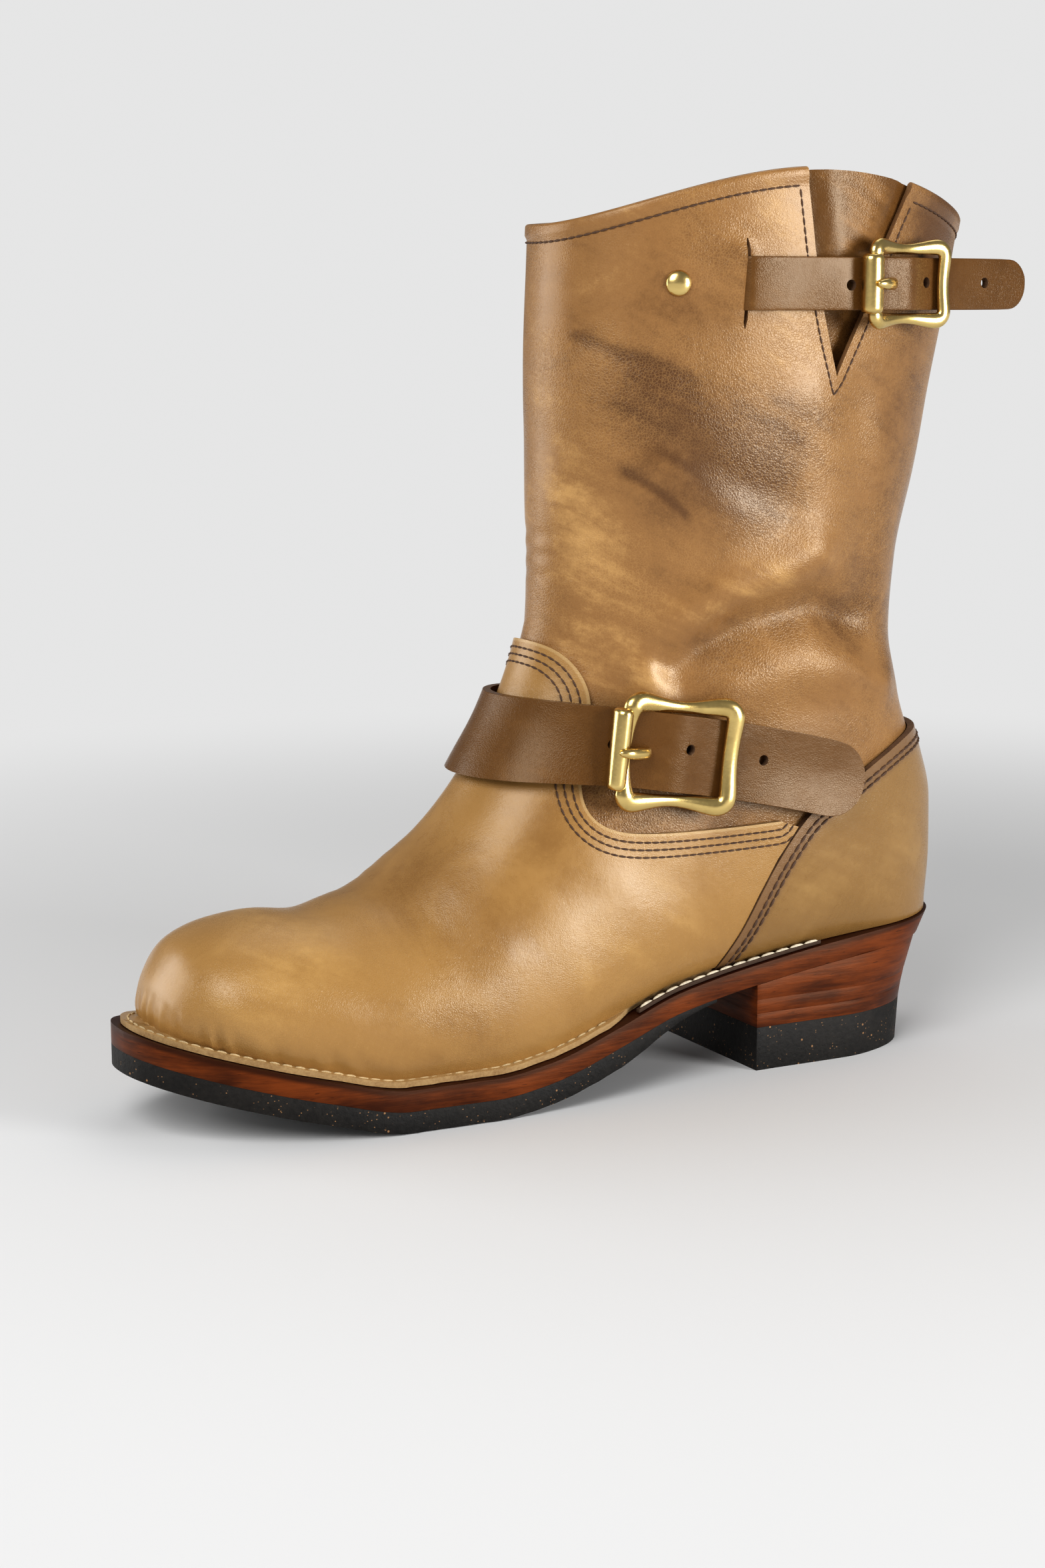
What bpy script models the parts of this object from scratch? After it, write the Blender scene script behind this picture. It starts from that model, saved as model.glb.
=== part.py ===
"""Engineer boot for the left foot: a pull-on boot with a stitched-down vamp, a heel counter,
a tall shaft with a V gusset, two buckled straps and a stacked leather heel.

The boot stands on the XY plane. +X points to the toe, +Y to the outer side, +Z up.
The origin is the middle of the heel's tread. Tables and functions work in millimetres,
and the finished meshes are in metres.
"""
import math
from collections import namedtuple

import bmesh
import bpy
import numpy as np
from mathutils import Vector
from mathutils.bvhtree import BVHTree

MM = 0.001
GAP = 0.3
MERGE = 1e-6
SHARP_ANGLE = 35.0

# Sole: plan outline, layers and heel
SOLE_BACK = -53.0
SOLE_TIP = 267.0
HEEL_ROUND = 40.0
TOE_ROUND = 82.0
END_FULLNESS = 2.2
MIDSOLE_THICK = 7.4
OUTSOLE_THICK = 7.4
OUTSOLE_BACK = 57.0
OUTSOLE_FULL = 104.0
OUTSOLE_FEATHER = 1.2
OUTSOLE_JOIN = 1.0
INSOLE_THICK = 3.6
INSOLE_INSET = 3.1
HEEL_BREAST = 39.0
HEEL_UNDERCUT = 13.5
HEEL_CURVE = 2.2
TOP_LIFT_Z = 16.0
LIFT_LEVELS = (21.2, 26.4)
LIFT_STATIONS = 16
SEAT_CLEAR = 0.4
END_CLEAR = 1.0
END_STEPS = (0.0, 0.25, 1.0, 2.2, 4.0)

# Upper: leather thickness and the ledge between the upper and the sole's edge
WALL = 2.2
VAMP_OUT = 2.4
OVERLAY_GAP = 0.45
COUNTER_OUT = 3.0
COUNTER_ROWS = (11, 26)
STAY_OUT = 1.6
GUSSET_OUT = 1.8
FLANGE_BACK = 92.0
FLANGE_FULL = 102.0
FLANGE_LEDGE = 3.2
FLANGE_THICK = 2.0
RAND_BACK = 11.0
RAND_LEDGE = 1.4
RAND_THICK = 1.4
RAND_CLEAR = 2.8
RAND_STATIONS = 15
RAND_END = 1.0
TOP_LIFT_OUTER = 18.5
TOP_LIFT_INNER = 3.0
FOOT_ROWS = 21
SHAFT_ROWS = 11
HALF_COLUMNS = 12
FRONT_FULLNESS = 2.1
BACK_FULLNESS = 2.25

# Straps and buckles
ANKLE_STRAP_WIDTH = 27.0
SHAFT_STRAP_WIDTH = 18.0
STRAP_THICK = 2.8
STRAP_ON_BOOT = 0.5
TIP_TURN = 1.4
KEEPER_THICK = 2.0
KEEPER_BACK = 3.0
KEEPER_LENGTH = 48.0
KEEPER_INSET = 2.5
TAB_LENGTH = 24.0
TAB_INSET = 1.0
RIVET_RADIUS = 3.9
RIVET_RISE = 2.0
RIVET_RIM = 0.5
RIVET_SIDES = 12

SoleRow = namedtuple("SoleRow", "x centre half seat inset")
SOLE = (
    SoleRow(-53, 0.0, 33.0, 49.0, 4.4),
    SoleRow(-20, 0.3, 33.4, 46.8, 5.6),
    SoleRow(0, 0.0, 35.0, 45.0, 7.6),
    SoleRow(45, 1.0, 33.4, 38.5, 9.4),
    SoleRow(70, 2.6, 34.2, 34.6, 9.6),
    SoleRow(100, 2.4, 38.6, 26.0, 9.4),
    SoleRow(130, -1.2, 44.4, 17.4, 9.2),
    SoleRow(150, -4.0, 47.5, 15.1, 9.2),
    SoleRow(180, -6.0, 48.2, 15.1, 9.2),
    SoleRow(210, -6.2, 46.8, 21.2, 9.2),
    SoleRow(235, -6.2, 45.6, 27.6, 9.6),
    SoleRow(267, -7.0, 45.0, 36.4, 10.0),
)

# Sections of the foot: each runs from the feather line under the foot to the ridge on top
FootRow = namedtuple("FootRow", "ridge_x ridge_y ridge_z end_x half widest")
FOOT = (
    FootRow(253.0, -7.0, 35.0, 253.0, 0.0, 0.35),
    FootRow(254.0, -7.0, 40.5, 251.4, 11.6, 0.35),
    FootRow(252.8, -7.0, 47.5, 247.0, 19.8, 0.34),
    FootRow(249.4, -7.0, 54.5, 239.5, 27.0, 0.33),
    FootRow(243.4, -7.0, 61.5, 229.5, 33.4, 0.32),
    FootRow(230.5, -7.0, 66.4, 215.5, 38.2, 0.31),
    FootRow(215.0, -6.5, 68.0, 201.0, 41.2, 0.30),
    FootRow(199.0, -6.0, 66.4, 187.0, 43.0, 0.30),
    FootRow(184.5, -5.5, 69.8, 170.0, 44.0, 0.30),
    FootRow(170.0, -5.0, 76.6, 150.0, 43.6, 0.31),
    FootRow(156.6, -4.5, 86.2, 128.0, 41.2, 0.33),
    FootRow(145.0, -4.0, 97.6, 103.0, 38.4, 0.36),
    FootRow(135.2, -3.5, 110.4, 75.0, 37.0, 0.39),
    FootRow(126.6, -3.0, 124.4, 45.0, 37.0, 0.41),
    FootRow(120.0, -2.4, 138.8, 12.0, 37.4, 0.43),
    FootRow(116.0, -1.8, 151.0, -20.0, 38.0, 0.44),
    FootRow(114.0, -1.2, 160.0, -41.0, 38.3, 0.45),
    FootRow(113.2, -0.8, 165.0, -49.0, 38.5, 0.46),
)

# Sections of the shaft: each runs from the back line to the front
ShaftRow = namedtuple("ShaftRow", "ridge_x ridge_z end_x end_z half widest")
SHAFT = (
    ShaftRow(113.2, 165.0, -49.0, 49.0, 38.5, 0.46),
    ShaftRow(112.6, 176.0, -50.4, 68.0, 39.0, 0.46),
    ShaftRow(112.3, 188.0, -49.8, 88.0, 39.6, 0.47),
    ShaftRow(112.0, 200.0, -44.4, 108.0, 40.4, 0.48),
    ShaftRow(112.0, 212.0, -36.4, 130.0, 41.4, 0.49),
    ShaftRow(112.0, 224.0, -31.4, 154.0, 42.6, 0.50),
    ShaftRow(112.0, 237.0, -33.0, 180.0, 44.2, 0.50),
    ShaftRow(111.7, 252.0, -39.0, 208.0, 46.0, 0.50),
    ShaftRow(111.2, 268.0, -45.2, 240.0, 47.8, 0.50),
    ShaftRow(110.7, 284.0, -51.4, 271.0, 49.2, 0.50),
    ShaftRow(110.0, 299.5, -56.6, 300.5, 50.2, 0.50),
)
LIFT_START = 0.55

# Side-view outlines of the overlays, as (x, z)
COUNTER_FRONT = ((58.0, 30.0), (53.0, 42.0), (47.0, 53.0), (41.0, 66.0), (34.0, 79.0), (26.0, 90.0))
COUNTER_TOP = ((19.0, 96.5), (6.0, 103.0), (-8.0, 111.0), (-24.0, 118.0), (-44.0, 121.0), (-80.0, 122.0))
VAMP_TOP = ((34.0, 92.6), (55.0, 92.0), (82.0, 92.0), (98.0, 93.5), (107.0, 98.5), (110.0, 107.0),
            (107.5, 120.0), (103.5, 132.0), (103.0, 142.0), (106.5, 151.0), (113.0, 157.5), (124.0, 160.5))
NOTCH = ((36.5, 330.0), (34.6, 318.0), (30.0, 292.0), (25.5, 271.0), (18.6, 249.0),
         (8.0, 270.0), (-2.0, 296.0), (-11.0, 313.0), (-16.0, 330.0))
NOTCH_MARGIN = 7.0
NOTCH_TOP = 319.0
NOTCH_INNER = 8.0
GUSSET_FIRST_ROW = 4
PRISM_HALF = 150.0
BELOW_SOLE = -20.0
PAST_TOE = 330.0
FITTED_EDGE = 0.4
STAY_HALF = 7.0
STAY_BOTTOM = 123.0
STAY_TOP = 297.0

# Straps: centre-line height as (x, z), the pole the rays turn about, and the buckle's place
ANKLE_LINE = ((-40.0, 95.0), (-3.0, 102.6), (8.0, 105.5), (45.0, 114.5), (97.0, 124.0), (120.0, 126.0),
              (145.0, 126.5))
ANKLE_POLE = (70.0, 0.0)
ANKLE_SPAN = (-138.0, 149.5)
ANKLE_BUCKLE_X = 76.5
ANKLE_FLAT_EASE = 14.0
ANKLE_RISE = (16.0, 3.0)
SHAFT_STRAP_Z = 280.5
SHAFT_POLE = (28.0, 0.0)
SHAFT_SPAN = (36.0, 122.0)
SHAFT_TAIL = 70.0
SHAFT_BUCKLE_OFFSET = 8.0
SHAFT_RISE = (20.0, 3.0)
SHAFT_LEAVES = (16.0, 4.0)
SHAFT_INNER_END = 7.0
SHAFT_INSIDE = -5.6
SHAFT_SLOT_X = 58.5
SHAFT_RIVET_X = 79.0
SLOT_HALF = 3.6
SLOT_HEIGHT = 30.0
SLOT_EASE = 5.0
SLOT_DEPTHS = (-8.0, 6.0)
BOX_FACES = ((0, 1, 3, 2), (4, 6, 7, 5), (0, 4, 5, 1), (2, 3, 7, 6), (0, 2, 6, 4), (1, 5, 7, 3))

Buckle = namedtuple("Buckle", "length height rail corner pinch roller_half")
ANKLE_BUCKLE = Buckle(43.0, 39.0, 2.2, 6.0, 2.0, 12.6)
SHAFT_BUCKLE = Buckle(38.0, 29.0, 1.9, 5.0, 1.5, 8.6)
ROLLER_WALL = 0.9
ROLLER_SIDES = 12
BAR_SHOULDER = 0.6
BAR_PLAY = 0.1
RAIL_EASE = 2.0
PRONG_RADIUS = 1.3
BAR_RADIUS = 1.3
BAR_HEIGHT = 3.8
STRAP_LOW = 2.8
STRAP_OVER_BAR = 5.6
FRAME_END_HEIGHT = 9.0
FRAME_MID_HEIGHT = 5.8


def smooth_curve(points):
    """Monotone cubic through (x, y) points, as a function of x."""
    xs, ys = np.array(sorted(points), float).T
    step = np.diff(xs)
    rise = np.diff(ys) / step
    slope = np.zeros_like(ys)
    slope[0], slope[-1] = rise[0], rise[-1]
    for i in range(1, len(xs) - 1):
        if rise[i - 1] * rise[i] > 0:
            before, after = 2 * step[i] + step[i - 1], step[i] + 2 * step[i - 1]
            slope[i] = (before + after) / (before / rise[i - 1] + after / rise[i])

    def at(x):
        x = np.clip(x, xs[0], xs[-1])
        i = np.clip(np.searchsorted(xs, x) - 1, 0, len(step) - 1)
        t = (x - xs[i]) / step[i]
        start = ys[i] * (1 + 2 * t) * (1 - t) ** 2 + step[i] * slope[i] * t * (1 - t) ** 2
        end = ys[i + 1] * t * t * (3 - 2 * t) + step[i] * slope[i + 1] * t * t * (t - 1)
        return start + end

    return at


def smooth_step(value, low, high):
    t = np.clip((value - low) / (high - low), 0.0, 1.0)
    return t * t * (3 - 2 * t)


def column(rows, name):
    return [getattr(row, name) for row in rows]


def sole_column(name):
    return smooth_curve(list(zip(column(SOLE, "x"), column(SOLE, name))))


sole_centre = sole_column("centre")
sole_half = sole_column("half")
seat = sole_column("seat")
feather_inset = sole_column("inset")


def round_end(distance, length):
    """Superellipse factor that closes an outline over its last length."""
    t = np.clip(distance / length, 0.0, 1.0)
    return (1 - (1 - t) ** END_FULLNESS) ** (1 / END_FULLNESS)


def outline_half(x, inset=0.0, back=SOLE_BACK, tip=SOLE_TIP):
    """Half-breadth of the sole's plan outline, drawn in by an inset."""
    full = sole_half(x) - inset
    return full * round_end(x - back, HEEL_ROUND - inset) * round_end(tip - x, TOE_ROUND - inset)


FEATHER_BACK = FOOT[-1].end_x
FEATHER_TIP = FOOT[0].end_x


def feather_half(x):
    return outline_half(x, feather_inset(x), FEATHER_BACK, FEATHER_TIP)


def grid_triangles(rows, columns, start=0, turned=False):
    """Triangles of a grid of points, with diagonals that mirror about its middle column."""
    faces = []
    for i in range(rows - 1):
        for j in range(columns - 1):
            a = start + i * columns + j
            b, c, d = a + columns, a + columns + 1, a + 1
            split = ((a, b, c), (a, c, d)) if j < columns // 2 else ((a, b, d), (b, c, d))
            faces.extend(tuple(reversed(face)) if turned else face for face in split)
    return faces


def strip_triangles(first, second):
    """Triangles between two runs of vertex numbers."""
    faces = []
    for i in range(len(first) - 1):
        faces.append((first[i], first[i + 1], second[i + 1]))
        faces.append((first[i], second[i + 1], second[i]))
    return faces


def shell(outer, inner, open_rows=None, close_start=False, close_end=True):
    """Closed shell between two grids; open_rows is how many rows have free side edges."""
    rows, columns = outer.shape[:2]
    count = rows * columns
    open_rows = rows if open_rows is None else open_rows
    faces = grid_triangles(rows, columns) + grid_triangles(rows, columns, count, True)
    for j in (0, columns - 1):
        edge = [i * columns + j for i in range(open_rows)]
        faces += strip_triangles(edge, [v + count for v in edge])
    for i, wanted in ((0, close_start), (rows - 1, close_end)):
        if wanted:
            edge = [i * columns + j for j in range(columns)]
            faces += strip_triangles(edge, [v + count for v in edge])
    return np.concatenate([outer.reshape(-1, 3), inner.reshape(-1, 3)]), faces


def leather(name, colour, roughness):
    return make_material(name, colour, roughness, 0.0)


def make_material(name, colour, roughness, metallic):
    material = bpy.data.materials.new(name)
    material.use_nodes = True
    shader = material.node_tree.nodes["Principled BSDF"]
    shader.inputs["Base Color"].default_value = (*colour, 1.0)
    shader.inputs["Roughness"].default_value = roughness
    shader.inputs["Metallic"].default_value = metallic
    return material


def add_part(name, points, faces, material):
    """Make a closed triangle mesh in metres from points in millimetres."""
    mesh = bpy.data.meshes.new(name)
    bm = bmesh.new()
    verts = [bm.verts.new(Vector(p) * MM) for p in points]
    for face in faces:
        bm.faces.new([verts[i] for i in face])
    bmesh.ops.remove_doubles(bm, verts=bm.verts, dist=MERGE)
    loose = [v for v in bm.verts if not v.link_faces]
    bmesh.ops.delete(bm, geom=loose, context="VERTS")
    bmesh.ops.recalc_face_normals(bm, faces=bm.faces)
    bm.to_mesh(mesh)
    bm.free()
    mesh.shade_smooth()
    mesh.set_sharp_from_angle(angle=math.radians(SHARP_ANGLE))
    part = bpy.data.objects.new(name, mesh)
    bpy.context.collection.objects.link(part)
    if material:
        mesh.materials.append(material)
    return part


def add_cutter(name, points, faces):
    cutter = add_part(name, points, faces, None)
    cutter.hide_render = True
    cutter.display_type = "WIRE"
    return cutter


def boolean(part, cutter, operation):
    modifier = part.modifiers.new(cutter.name, "BOOLEAN")
    modifier.operation = operation
    modifier.object = cutter
    modifier.solver = "EXACT"


def box_cutter(name, points):
    return add_cutter(name, points, BOX_FACES)


def side_prism(name, outline, low_y=-PRISM_HALF, high_y=PRISM_HALF):
    """Prism of a side-view outline of (x, z) points."""
    count = len(outline)
    points = [(x, low_y, z) for x, z in outline] + [(x, high_y, z) for x, z in outline]
    ring = list(range(count)) + [0]
    sides = strip_triangles(ring, [v + count for v in ring])
    caps = [tuple(range(count)), tuple(range(2 * count - 1, count - 1, -1))]
    return add_cutter(name, points, sides + caps)


def half_breadth(s, half, feather, widest):
    """Half-breadth along a section, from its end at s = 0 to the ridge at s = 1."""
    above = np.clip((s - widest) / (1 - widest), 0, 1)
    below = np.clip((widest - s) / widest, 0, 1)
    ratio = np.where(half > 0, feather / np.maximum(half, 1e-6), 0.0)
    front = (1 - above ** FRONT_FULLNESS) ** (1 / FRONT_FULLNESS)
    rear = (1 - below ** BACK_FULLNESS * (1 - ratio ** BACK_FULLNESS)) ** (1 / BACK_FULLNESS)
    return half * np.where(s > widest, front, rear)


def section_parameters(count):
    """Row positions from 0 to 1, closer together at the two ends."""
    u = np.linspace(0, 1, count)
    return 0.45 * u + 0.55 * (1 - np.cos(np.pi * u)) / 2


def sample(rows, name, places):
    """Values of a table's column at places from 0 to 1 along its rows."""
    values = list(enumerate(column(rows, name)))
    return smooth_curve(values)(places * (len(rows) - 1))


def last_rows():
    """All section values of the upper, from the toe to the collar."""
    foot = {n: sample(FOOT, n, section_parameters(FOOT_ROWS)) for n in FootRow._fields}
    foot["end_z"] = seat(foot["end_x"]) + GAP
    foot["ridge_z"][0] = foot["end_z"][0]
    foot["feather"] = feather_half(foot["end_x"])
    foot["feather"][-1] = 0.0
    foot["half"] = np.maximum(foot["half"], foot["feather"])
    foot["end_y"] = sole_centre(foot["end_x"])
    foot["ridge_y"][0] = foot["end_y"][0]
    foot["lift"] = np.zeros(FOOT_ROWS)
    even = np.linspace(0, 1, SHAFT_ROWS)
    shaft = {n: sample(SHAFT, n, even) for n in ShaftRow._fields}
    shaft["feather"] = np.zeros(SHAFT_ROWS)
    shaft["end_y"] = np.zeros(SHAFT_ROWS)
    shaft["ridge_y"] = FOOT[-1].ridge_y * (1 - even)
    shaft["lift"] = smooth_step(even, LIFT_START, 1.0)
    shaft["end_z"][0] = foot["end_z"][-1]
    return {n: np.concatenate([foot[n], shaft[n][1:]]) for n in foot}


def upper_grid():
    """Points of the upper's outer face: rows by columns, outer side to inner side."""
    rows = {name: values[:, None] for name, values in last_rows().items()}
    turn = np.pi * np.arange(HALF_COLUMNS + 1) / HALF_COLUMNS
    s = (1 - np.cos(turn)) / 2
    s = np.concatenate([s, s[-2::-1]])
    side = np.where(np.arange(len(s)) <= HALF_COLUMNS, 1.0, -1.0)
    x = rows["end_x"] + s * (rows["ridge_x"] - rows["end_x"])
    z = rows["end_z"] + s * (rows["ridge_z"] - rows["end_z"])
    middle = rows["end_y"] + s * (rows["ridge_y"] - rows["end_y"])
    breadth = half_breadth(s[None, :], rows["half"], rows["feather"], rows["widest"])
    rise = np.where(side > 0, TOP_LIFT_OUTER, TOP_LIFT_INNER) * np.sin(np.pi * s)
    return np.stack([x, middle + side * breadth, z + rows["lift"] * rise], -1)


def grid_normals(grid):
    """Unit normals of a grid's points, shared where points coincide."""
    rows, columns = grid.shape[:2]
    points = grid.reshape(-1, 3)
    faces = np.array(grid_triangles(rows, columns))
    a, b, c = points[faces].transpose(1, 0, 2)
    facing = np.cross(b - a, c - a)
    total = np.zeros_like(points)
    for k in range(3):
        np.add.at(total, faces[:, k], facing)
    shared = {}
    keys = [tuple(key) for key in np.round(points, 3)]
    for key, normal in zip(keys, total):
        shared[key] = shared.get(key, 0) + normal
    normals = np.array([shared[key] for key in keys])
    normals /= np.linalg.norm(normals, axis=1)[:, None]
    middle = points.mean(0)
    if ((points - middle) * normals).sum() < 0:
        normals = -normals
    return normals.reshape(grid.shape)


GRID = upper_grid()
NORMALS = grid_normals(GRID)
HEEL_ROW = FOOT_ROWS - 1
# Offsets never point down, so that the skins stay apart where the side is undercut
NORMALS[..., 2] = np.maximum(NORMALS[..., 2], 0.0)
NORMALS[:HEEL_ROW, (0, -1), 2] = 0.0
NORMALS /= np.linalg.norm(NORMALS, axis=-1)[..., None]


def skin(offset):
    """The upper's outer face moved out by an offset, kept above the sole."""
    points = GRID + NORMALS * offset
    points[..., 2] = np.maximum(points[..., 2], seat(points[..., 0]) + GAP)
    return points


def build_upper(material):
    points, faces = shell(skin(0.0), skin(-WALL), open_rows=HEEL_ROW + 1)
    upper = add_part("upper", points, faces, material)
    boolean(upper, side_prism("notch_cutter", NOTCH, low_y=NOTCH_INNER), "DIFFERENCE")
    return upper


def with_flange(points, height):
    """Add a flange column at each side of the vamp's rows: full along the forefoot, none behind."""
    x = last_rows()["end_x"][:HEEL_ROW]
    share = smooth_step(x, FLANGE_BACK, FLANGE_FULL)[:, None]
    toe_reach = smooth_step(x, FEATHER_TIP - TOE_ROUND, FEATHER_TIP) ** 2
    full_x = x + toe_reach * (SOLE_TIP - FLANGE_LEDGE - FEATHER_TIP)
    full_half = outline_half(full_x, FLANGE_LEDGE, SOLE_BACK, SOLE_TIP - FLANGE_LEDGE)
    full_half[0] = 0.0
    narrow = skin(VAMP_OUT + GAP)[:HEEL_ROW]
    edges = []
    for edge_column, side in ((0, 1), (-1, -1)):
        full = np.stack([full_x, sole_centre(full_x) + side * full_half], -1)
        plan = narrow[:, edge_column, :2] * (1 - share) + full * share
        z = seat(plan[:, 0]) + height
        edges.append(np.concatenate([plan, z[:, None]], -1)[:, None])
    points[..., 2] = np.maximum(points[..., 2], seat(points[..., 0]) + height)
    return np.concatenate([edges[0], points, edges[1]], axis=1)


def vamp_outline():
    """Side-view outline of the vamp: in front of the counter and below its stitched edge."""
    rear = [(x + FITTED_EDGE, z) for x, z in COUNTER_FRONT]
    front = [(PAST_TOE, VAMP_TOP[-1][1]), (PAST_TOE, BELOW_SOLE)]
    return [(COUNTER_FRONT[0][0], BELOW_SOLE)] + rear + list(VAMP_TOP) + front


def build_vamp(material):
    outer = with_flange(skin(VAMP_OUT)[:HEEL_ROW], GAP + FLANGE_THICK)
    inner = with_flange(skin(OVERLAY_GAP)[:HEEL_ROW], GAP)
    points, faces = shell(outer, inner)
    vamp = add_part("vamp", points, faces, material)
    boolean(vamp, side_prism("vamp_cutter", vamp_outline()), "INTERSECT")
    return vamp


def build_counter(material):
    rows = slice(*COUNTER_ROWS)
    points, faces = shell(skin(COUNTER_OUT)[rows], skin(OVERLAY_GAP)[rows],
                          open_rows=HEEL_ROW + 1 - COUNTER_ROWS[0], close_start=True)
    counter = add_part("counter", points, faces, material)
    low_front = (COUNTER_FRONT[0][0], BELOW_SOLE)
    low_back = (COUNTER_TOP[-1][0], BELOW_SOLE)
    outline = [low_front] + list(COUNTER_FRONT) + list(COUNTER_TOP) + [low_back]
    boolean(counter, side_prism("counter_cutter", outline), "INTERSECT")
    return counter


def notch_panel():
    """The notch's outline spread out by the seam margin."""
    tip = min(NOTCH, key=lambda p: p[1])
    sides = [(x, z - NOTCH_MARGIN) for x, z in NOTCH if z < NOTCH_TOP]
    front = [(x + NOTCH_MARGIN, z) for x, z in sides if x > tip[0]]
    rear = [(x - NOTCH_MARGIN, z) for x, z in sides if x < tip[0]]
    return front + [(tip[0], tip[1] - 2 * NOTCH_MARGIN)] + rear


def build_gusset(material):
    rows = slice(HEEL_ROW + GUSSET_FIRST_ROW, None)
    columns = slice(2, HALF_COLUMNS - 1)
    inner_face = -WALL - GAP
    outer = skin(inner_face)[rows, columns]
    inner = skin(inner_face - GUSSET_OUT)[rows, columns]
    points, faces = shell(outer, inner, close_start=True)
    gusset = add_part("gusset", points, faces, material)
    boolean(gusset, side_prism("gusset_cutter", notch_panel(), low_y=NOTCH_INNER), "INTERSECT")


def build_back_stay(material):
    around = list(range(2 * HALF_COLUMNS - 3, 2 * HALF_COLUMNS)) + list(range(0, 4))
    rows = slice(HEEL_ROW + 1, None)
    points, faces = shell(skin(STAY_OUT)[rows][:, around], skin(GAP)[rows][:, around], close_start=True)
    stay = add_part("back_stay", points, faces, material)
    outline = [(-90, STAY_BOTTOM), (-5, STAY_BOTTOM), (-5, STAY_TOP), (-90, STAY_TOP)]
    boolean(stay, side_prism("stay_cutter", outline, -STAY_HALF, STAY_HALF), "INTERSECT")


def station_row(back, tip):
    """Stations of the upper's sections between two ends, with more at the round ends."""
    rows = last_rows()["end_x"][:FOOT_ROWS]
    ends = [end + turn * step for end, turn in ((back, 1), (tip, -1)) for step in END_STEPS]
    clear = END_STEPS[-1] + END_CLEAR
    inner = [x for x in rows if back + clear < x < tip - clear]
    return np.array(sorted(ends + inner))


def slab(name, x, half, bottom, top, material, bottom_x=None):
    """Closed slab with a plan outline given by half-breadths at stations along x."""
    low_x = x if bottom_x is None else bottom_x
    grids = []
    for along, height in ((x, top), (low_x, bottom)):
        centre = sole_centre(along)
        sides = [np.stack([along, centre + side * half, height], -1)[:, None] for side in (1, -1)]
        grids.append(np.concatenate(sides, axis=1))
    points, faces = shell(grids[0], grids[1], close_start=True)
    add_part(name, points, faces, material)


def heel_back(z):
    """Back edge of the heel at a height: full at the seat and drawn in at the tread."""
    share = np.clip(z / SOLE[0].seat, 0, 1) ** HEEL_CURVE
    return SOLE_BACK + HEEL_UNDERCUT * (1 - share)


def build_midsole(material):
    x = station_row(SOLE_BACK, SOLE_TIP)
    low_back = float(heel_back(seat(SOLE_BACK) - MIDSOLE_THICK))
    low_x = x + (low_back - SOLE_BACK) * (1 - smooth_step(x, SOLE_BACK, HEEL_BREAST))
    slab("midsole", x, outline_half(x), seat(low_x) - MIDSOLE_THICK, seat(x), material, low_x)


def build_outsole(material):
    full = station_row(SOLE_BACK, SOLE_TIP)
    x = np.array([OUTSOLE_BACK] + [station for station in full if station > OUTSOLE_BACK + OUTSOLE_JOIN])
    top = np.interp(x, full, seat(full)) - MIDSOLE_THICK - GAP
    share = smooth_step(x, OUTSOLE_BACK, OUTSOLE_FULL)
    thick = OUTSOLE_FEATHER + (OUTSOLE_THICK - OUTSOLE_FEATHER) * share
    slab("outsole", x, outline_half(x), top - thick, top, material)


def build_insole(material):
    back, tip = FEATHER_BACK + INSOLE_INSET, FEATHER_TIP - INSOLE_INSET
    x = station_row(back, tip)
    half = outline_half(x, feather_inset(x) + INSOLE_INSET, back, tip)
    low = seat(x) + GAP
    slab("insole", x, half, low, low + INSOLE_THICK, material)


def heel_outline(z, x_share):
    """Stations and half-breadths of the heel's outline at a height."""
    back = float(heel_back(z))
    x = back + (HEEL_BREAST - back) * x_share
    return x, outline_half(x, 0.0, back)


def build_lift(name, bottom_z, top_z, material):
    """One layer of the heel; top_z None means that it follows the midsole."""
    x_share = 1 - np.cos(np.pi / 2 * np.linspace(0, 1, LIFT_STATIONS))
    level = top_z if top_z is not None else SOLE[1].seat - MIDSOLE_THICK
    grids = []
    for z, follows in ((level, top_z is None), (bottom_z, False)):
        x, half = heel_outline(z, x_share)
        height = seat(x) - MIDSOLE_THICK - SEAT_CLEAR if follows else np.full_like(x, z)
        centre = sole_centre(x)
        sides = [np.stack([x, centre + side * half, height], -1)[:, None] for side in (1, -1)]
        grids.append(np.concatenate(sides, axis=1))
    points, faces = shell(grids[0], grids[1], close_start=True)
    add_part(name, points, faces, material)


def build_heel(leather_material, rubber):
    levels = (TOP_LIFT_Z,) + LIFT_LEVELS
    build_lift("heel_top_lift", 0.0, TOP_LIFT_Z, rubber)
    for number, low in enumerate(levels):
        high = levels[number + 1] if number + 1 < len(levels) else None
        build_lift("heel_lift_%d" % (number + 1), low + GAP, high, leather_material)


def build_rand(name, side, material):
    """Narrow strip on the sole's ledge along the waist, between the upper and the edge."""
    x = np.linspace(RAND_BACK, FLANGE_BACK - RAND_END, RAND_STATIONS)
    near = feather_half(x) + COUNTER_OUT + RAND_CLEAR
    far = outline_half(x, RAND_LEDGE)
    grids = []
    for height in (GAP + RAND_THICK, GAP):
        edges = [np.stack([x, sole_centre(x) + side * reach, seat(x) + height], -1)[:, None]
                 for reach in (near, far)]
        grids.append(np.concatenate(edges, axis=1))
    points, faces = shell(grids[0], grids[1], close_start=True)
    add_part(name, points, faces, material)


def surface_tree(parts):
    """Ray-casting tree of the finished faces of some parts, in millimetres."""
    graph = bpy.context.evaluated_depsgraph_get()
    points, faces = [], []
    for part in parts:
        mesh = part.evaluated_get(graph).to_mesh()
        start = len(points)
        points += [v.co / MM for v in mesh.vertices]
        faces += [[start + i for i in polygon.vertices] for polygon in mesh.polygons]
    return BVHTree.FromPolygons(points, faces)


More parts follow.
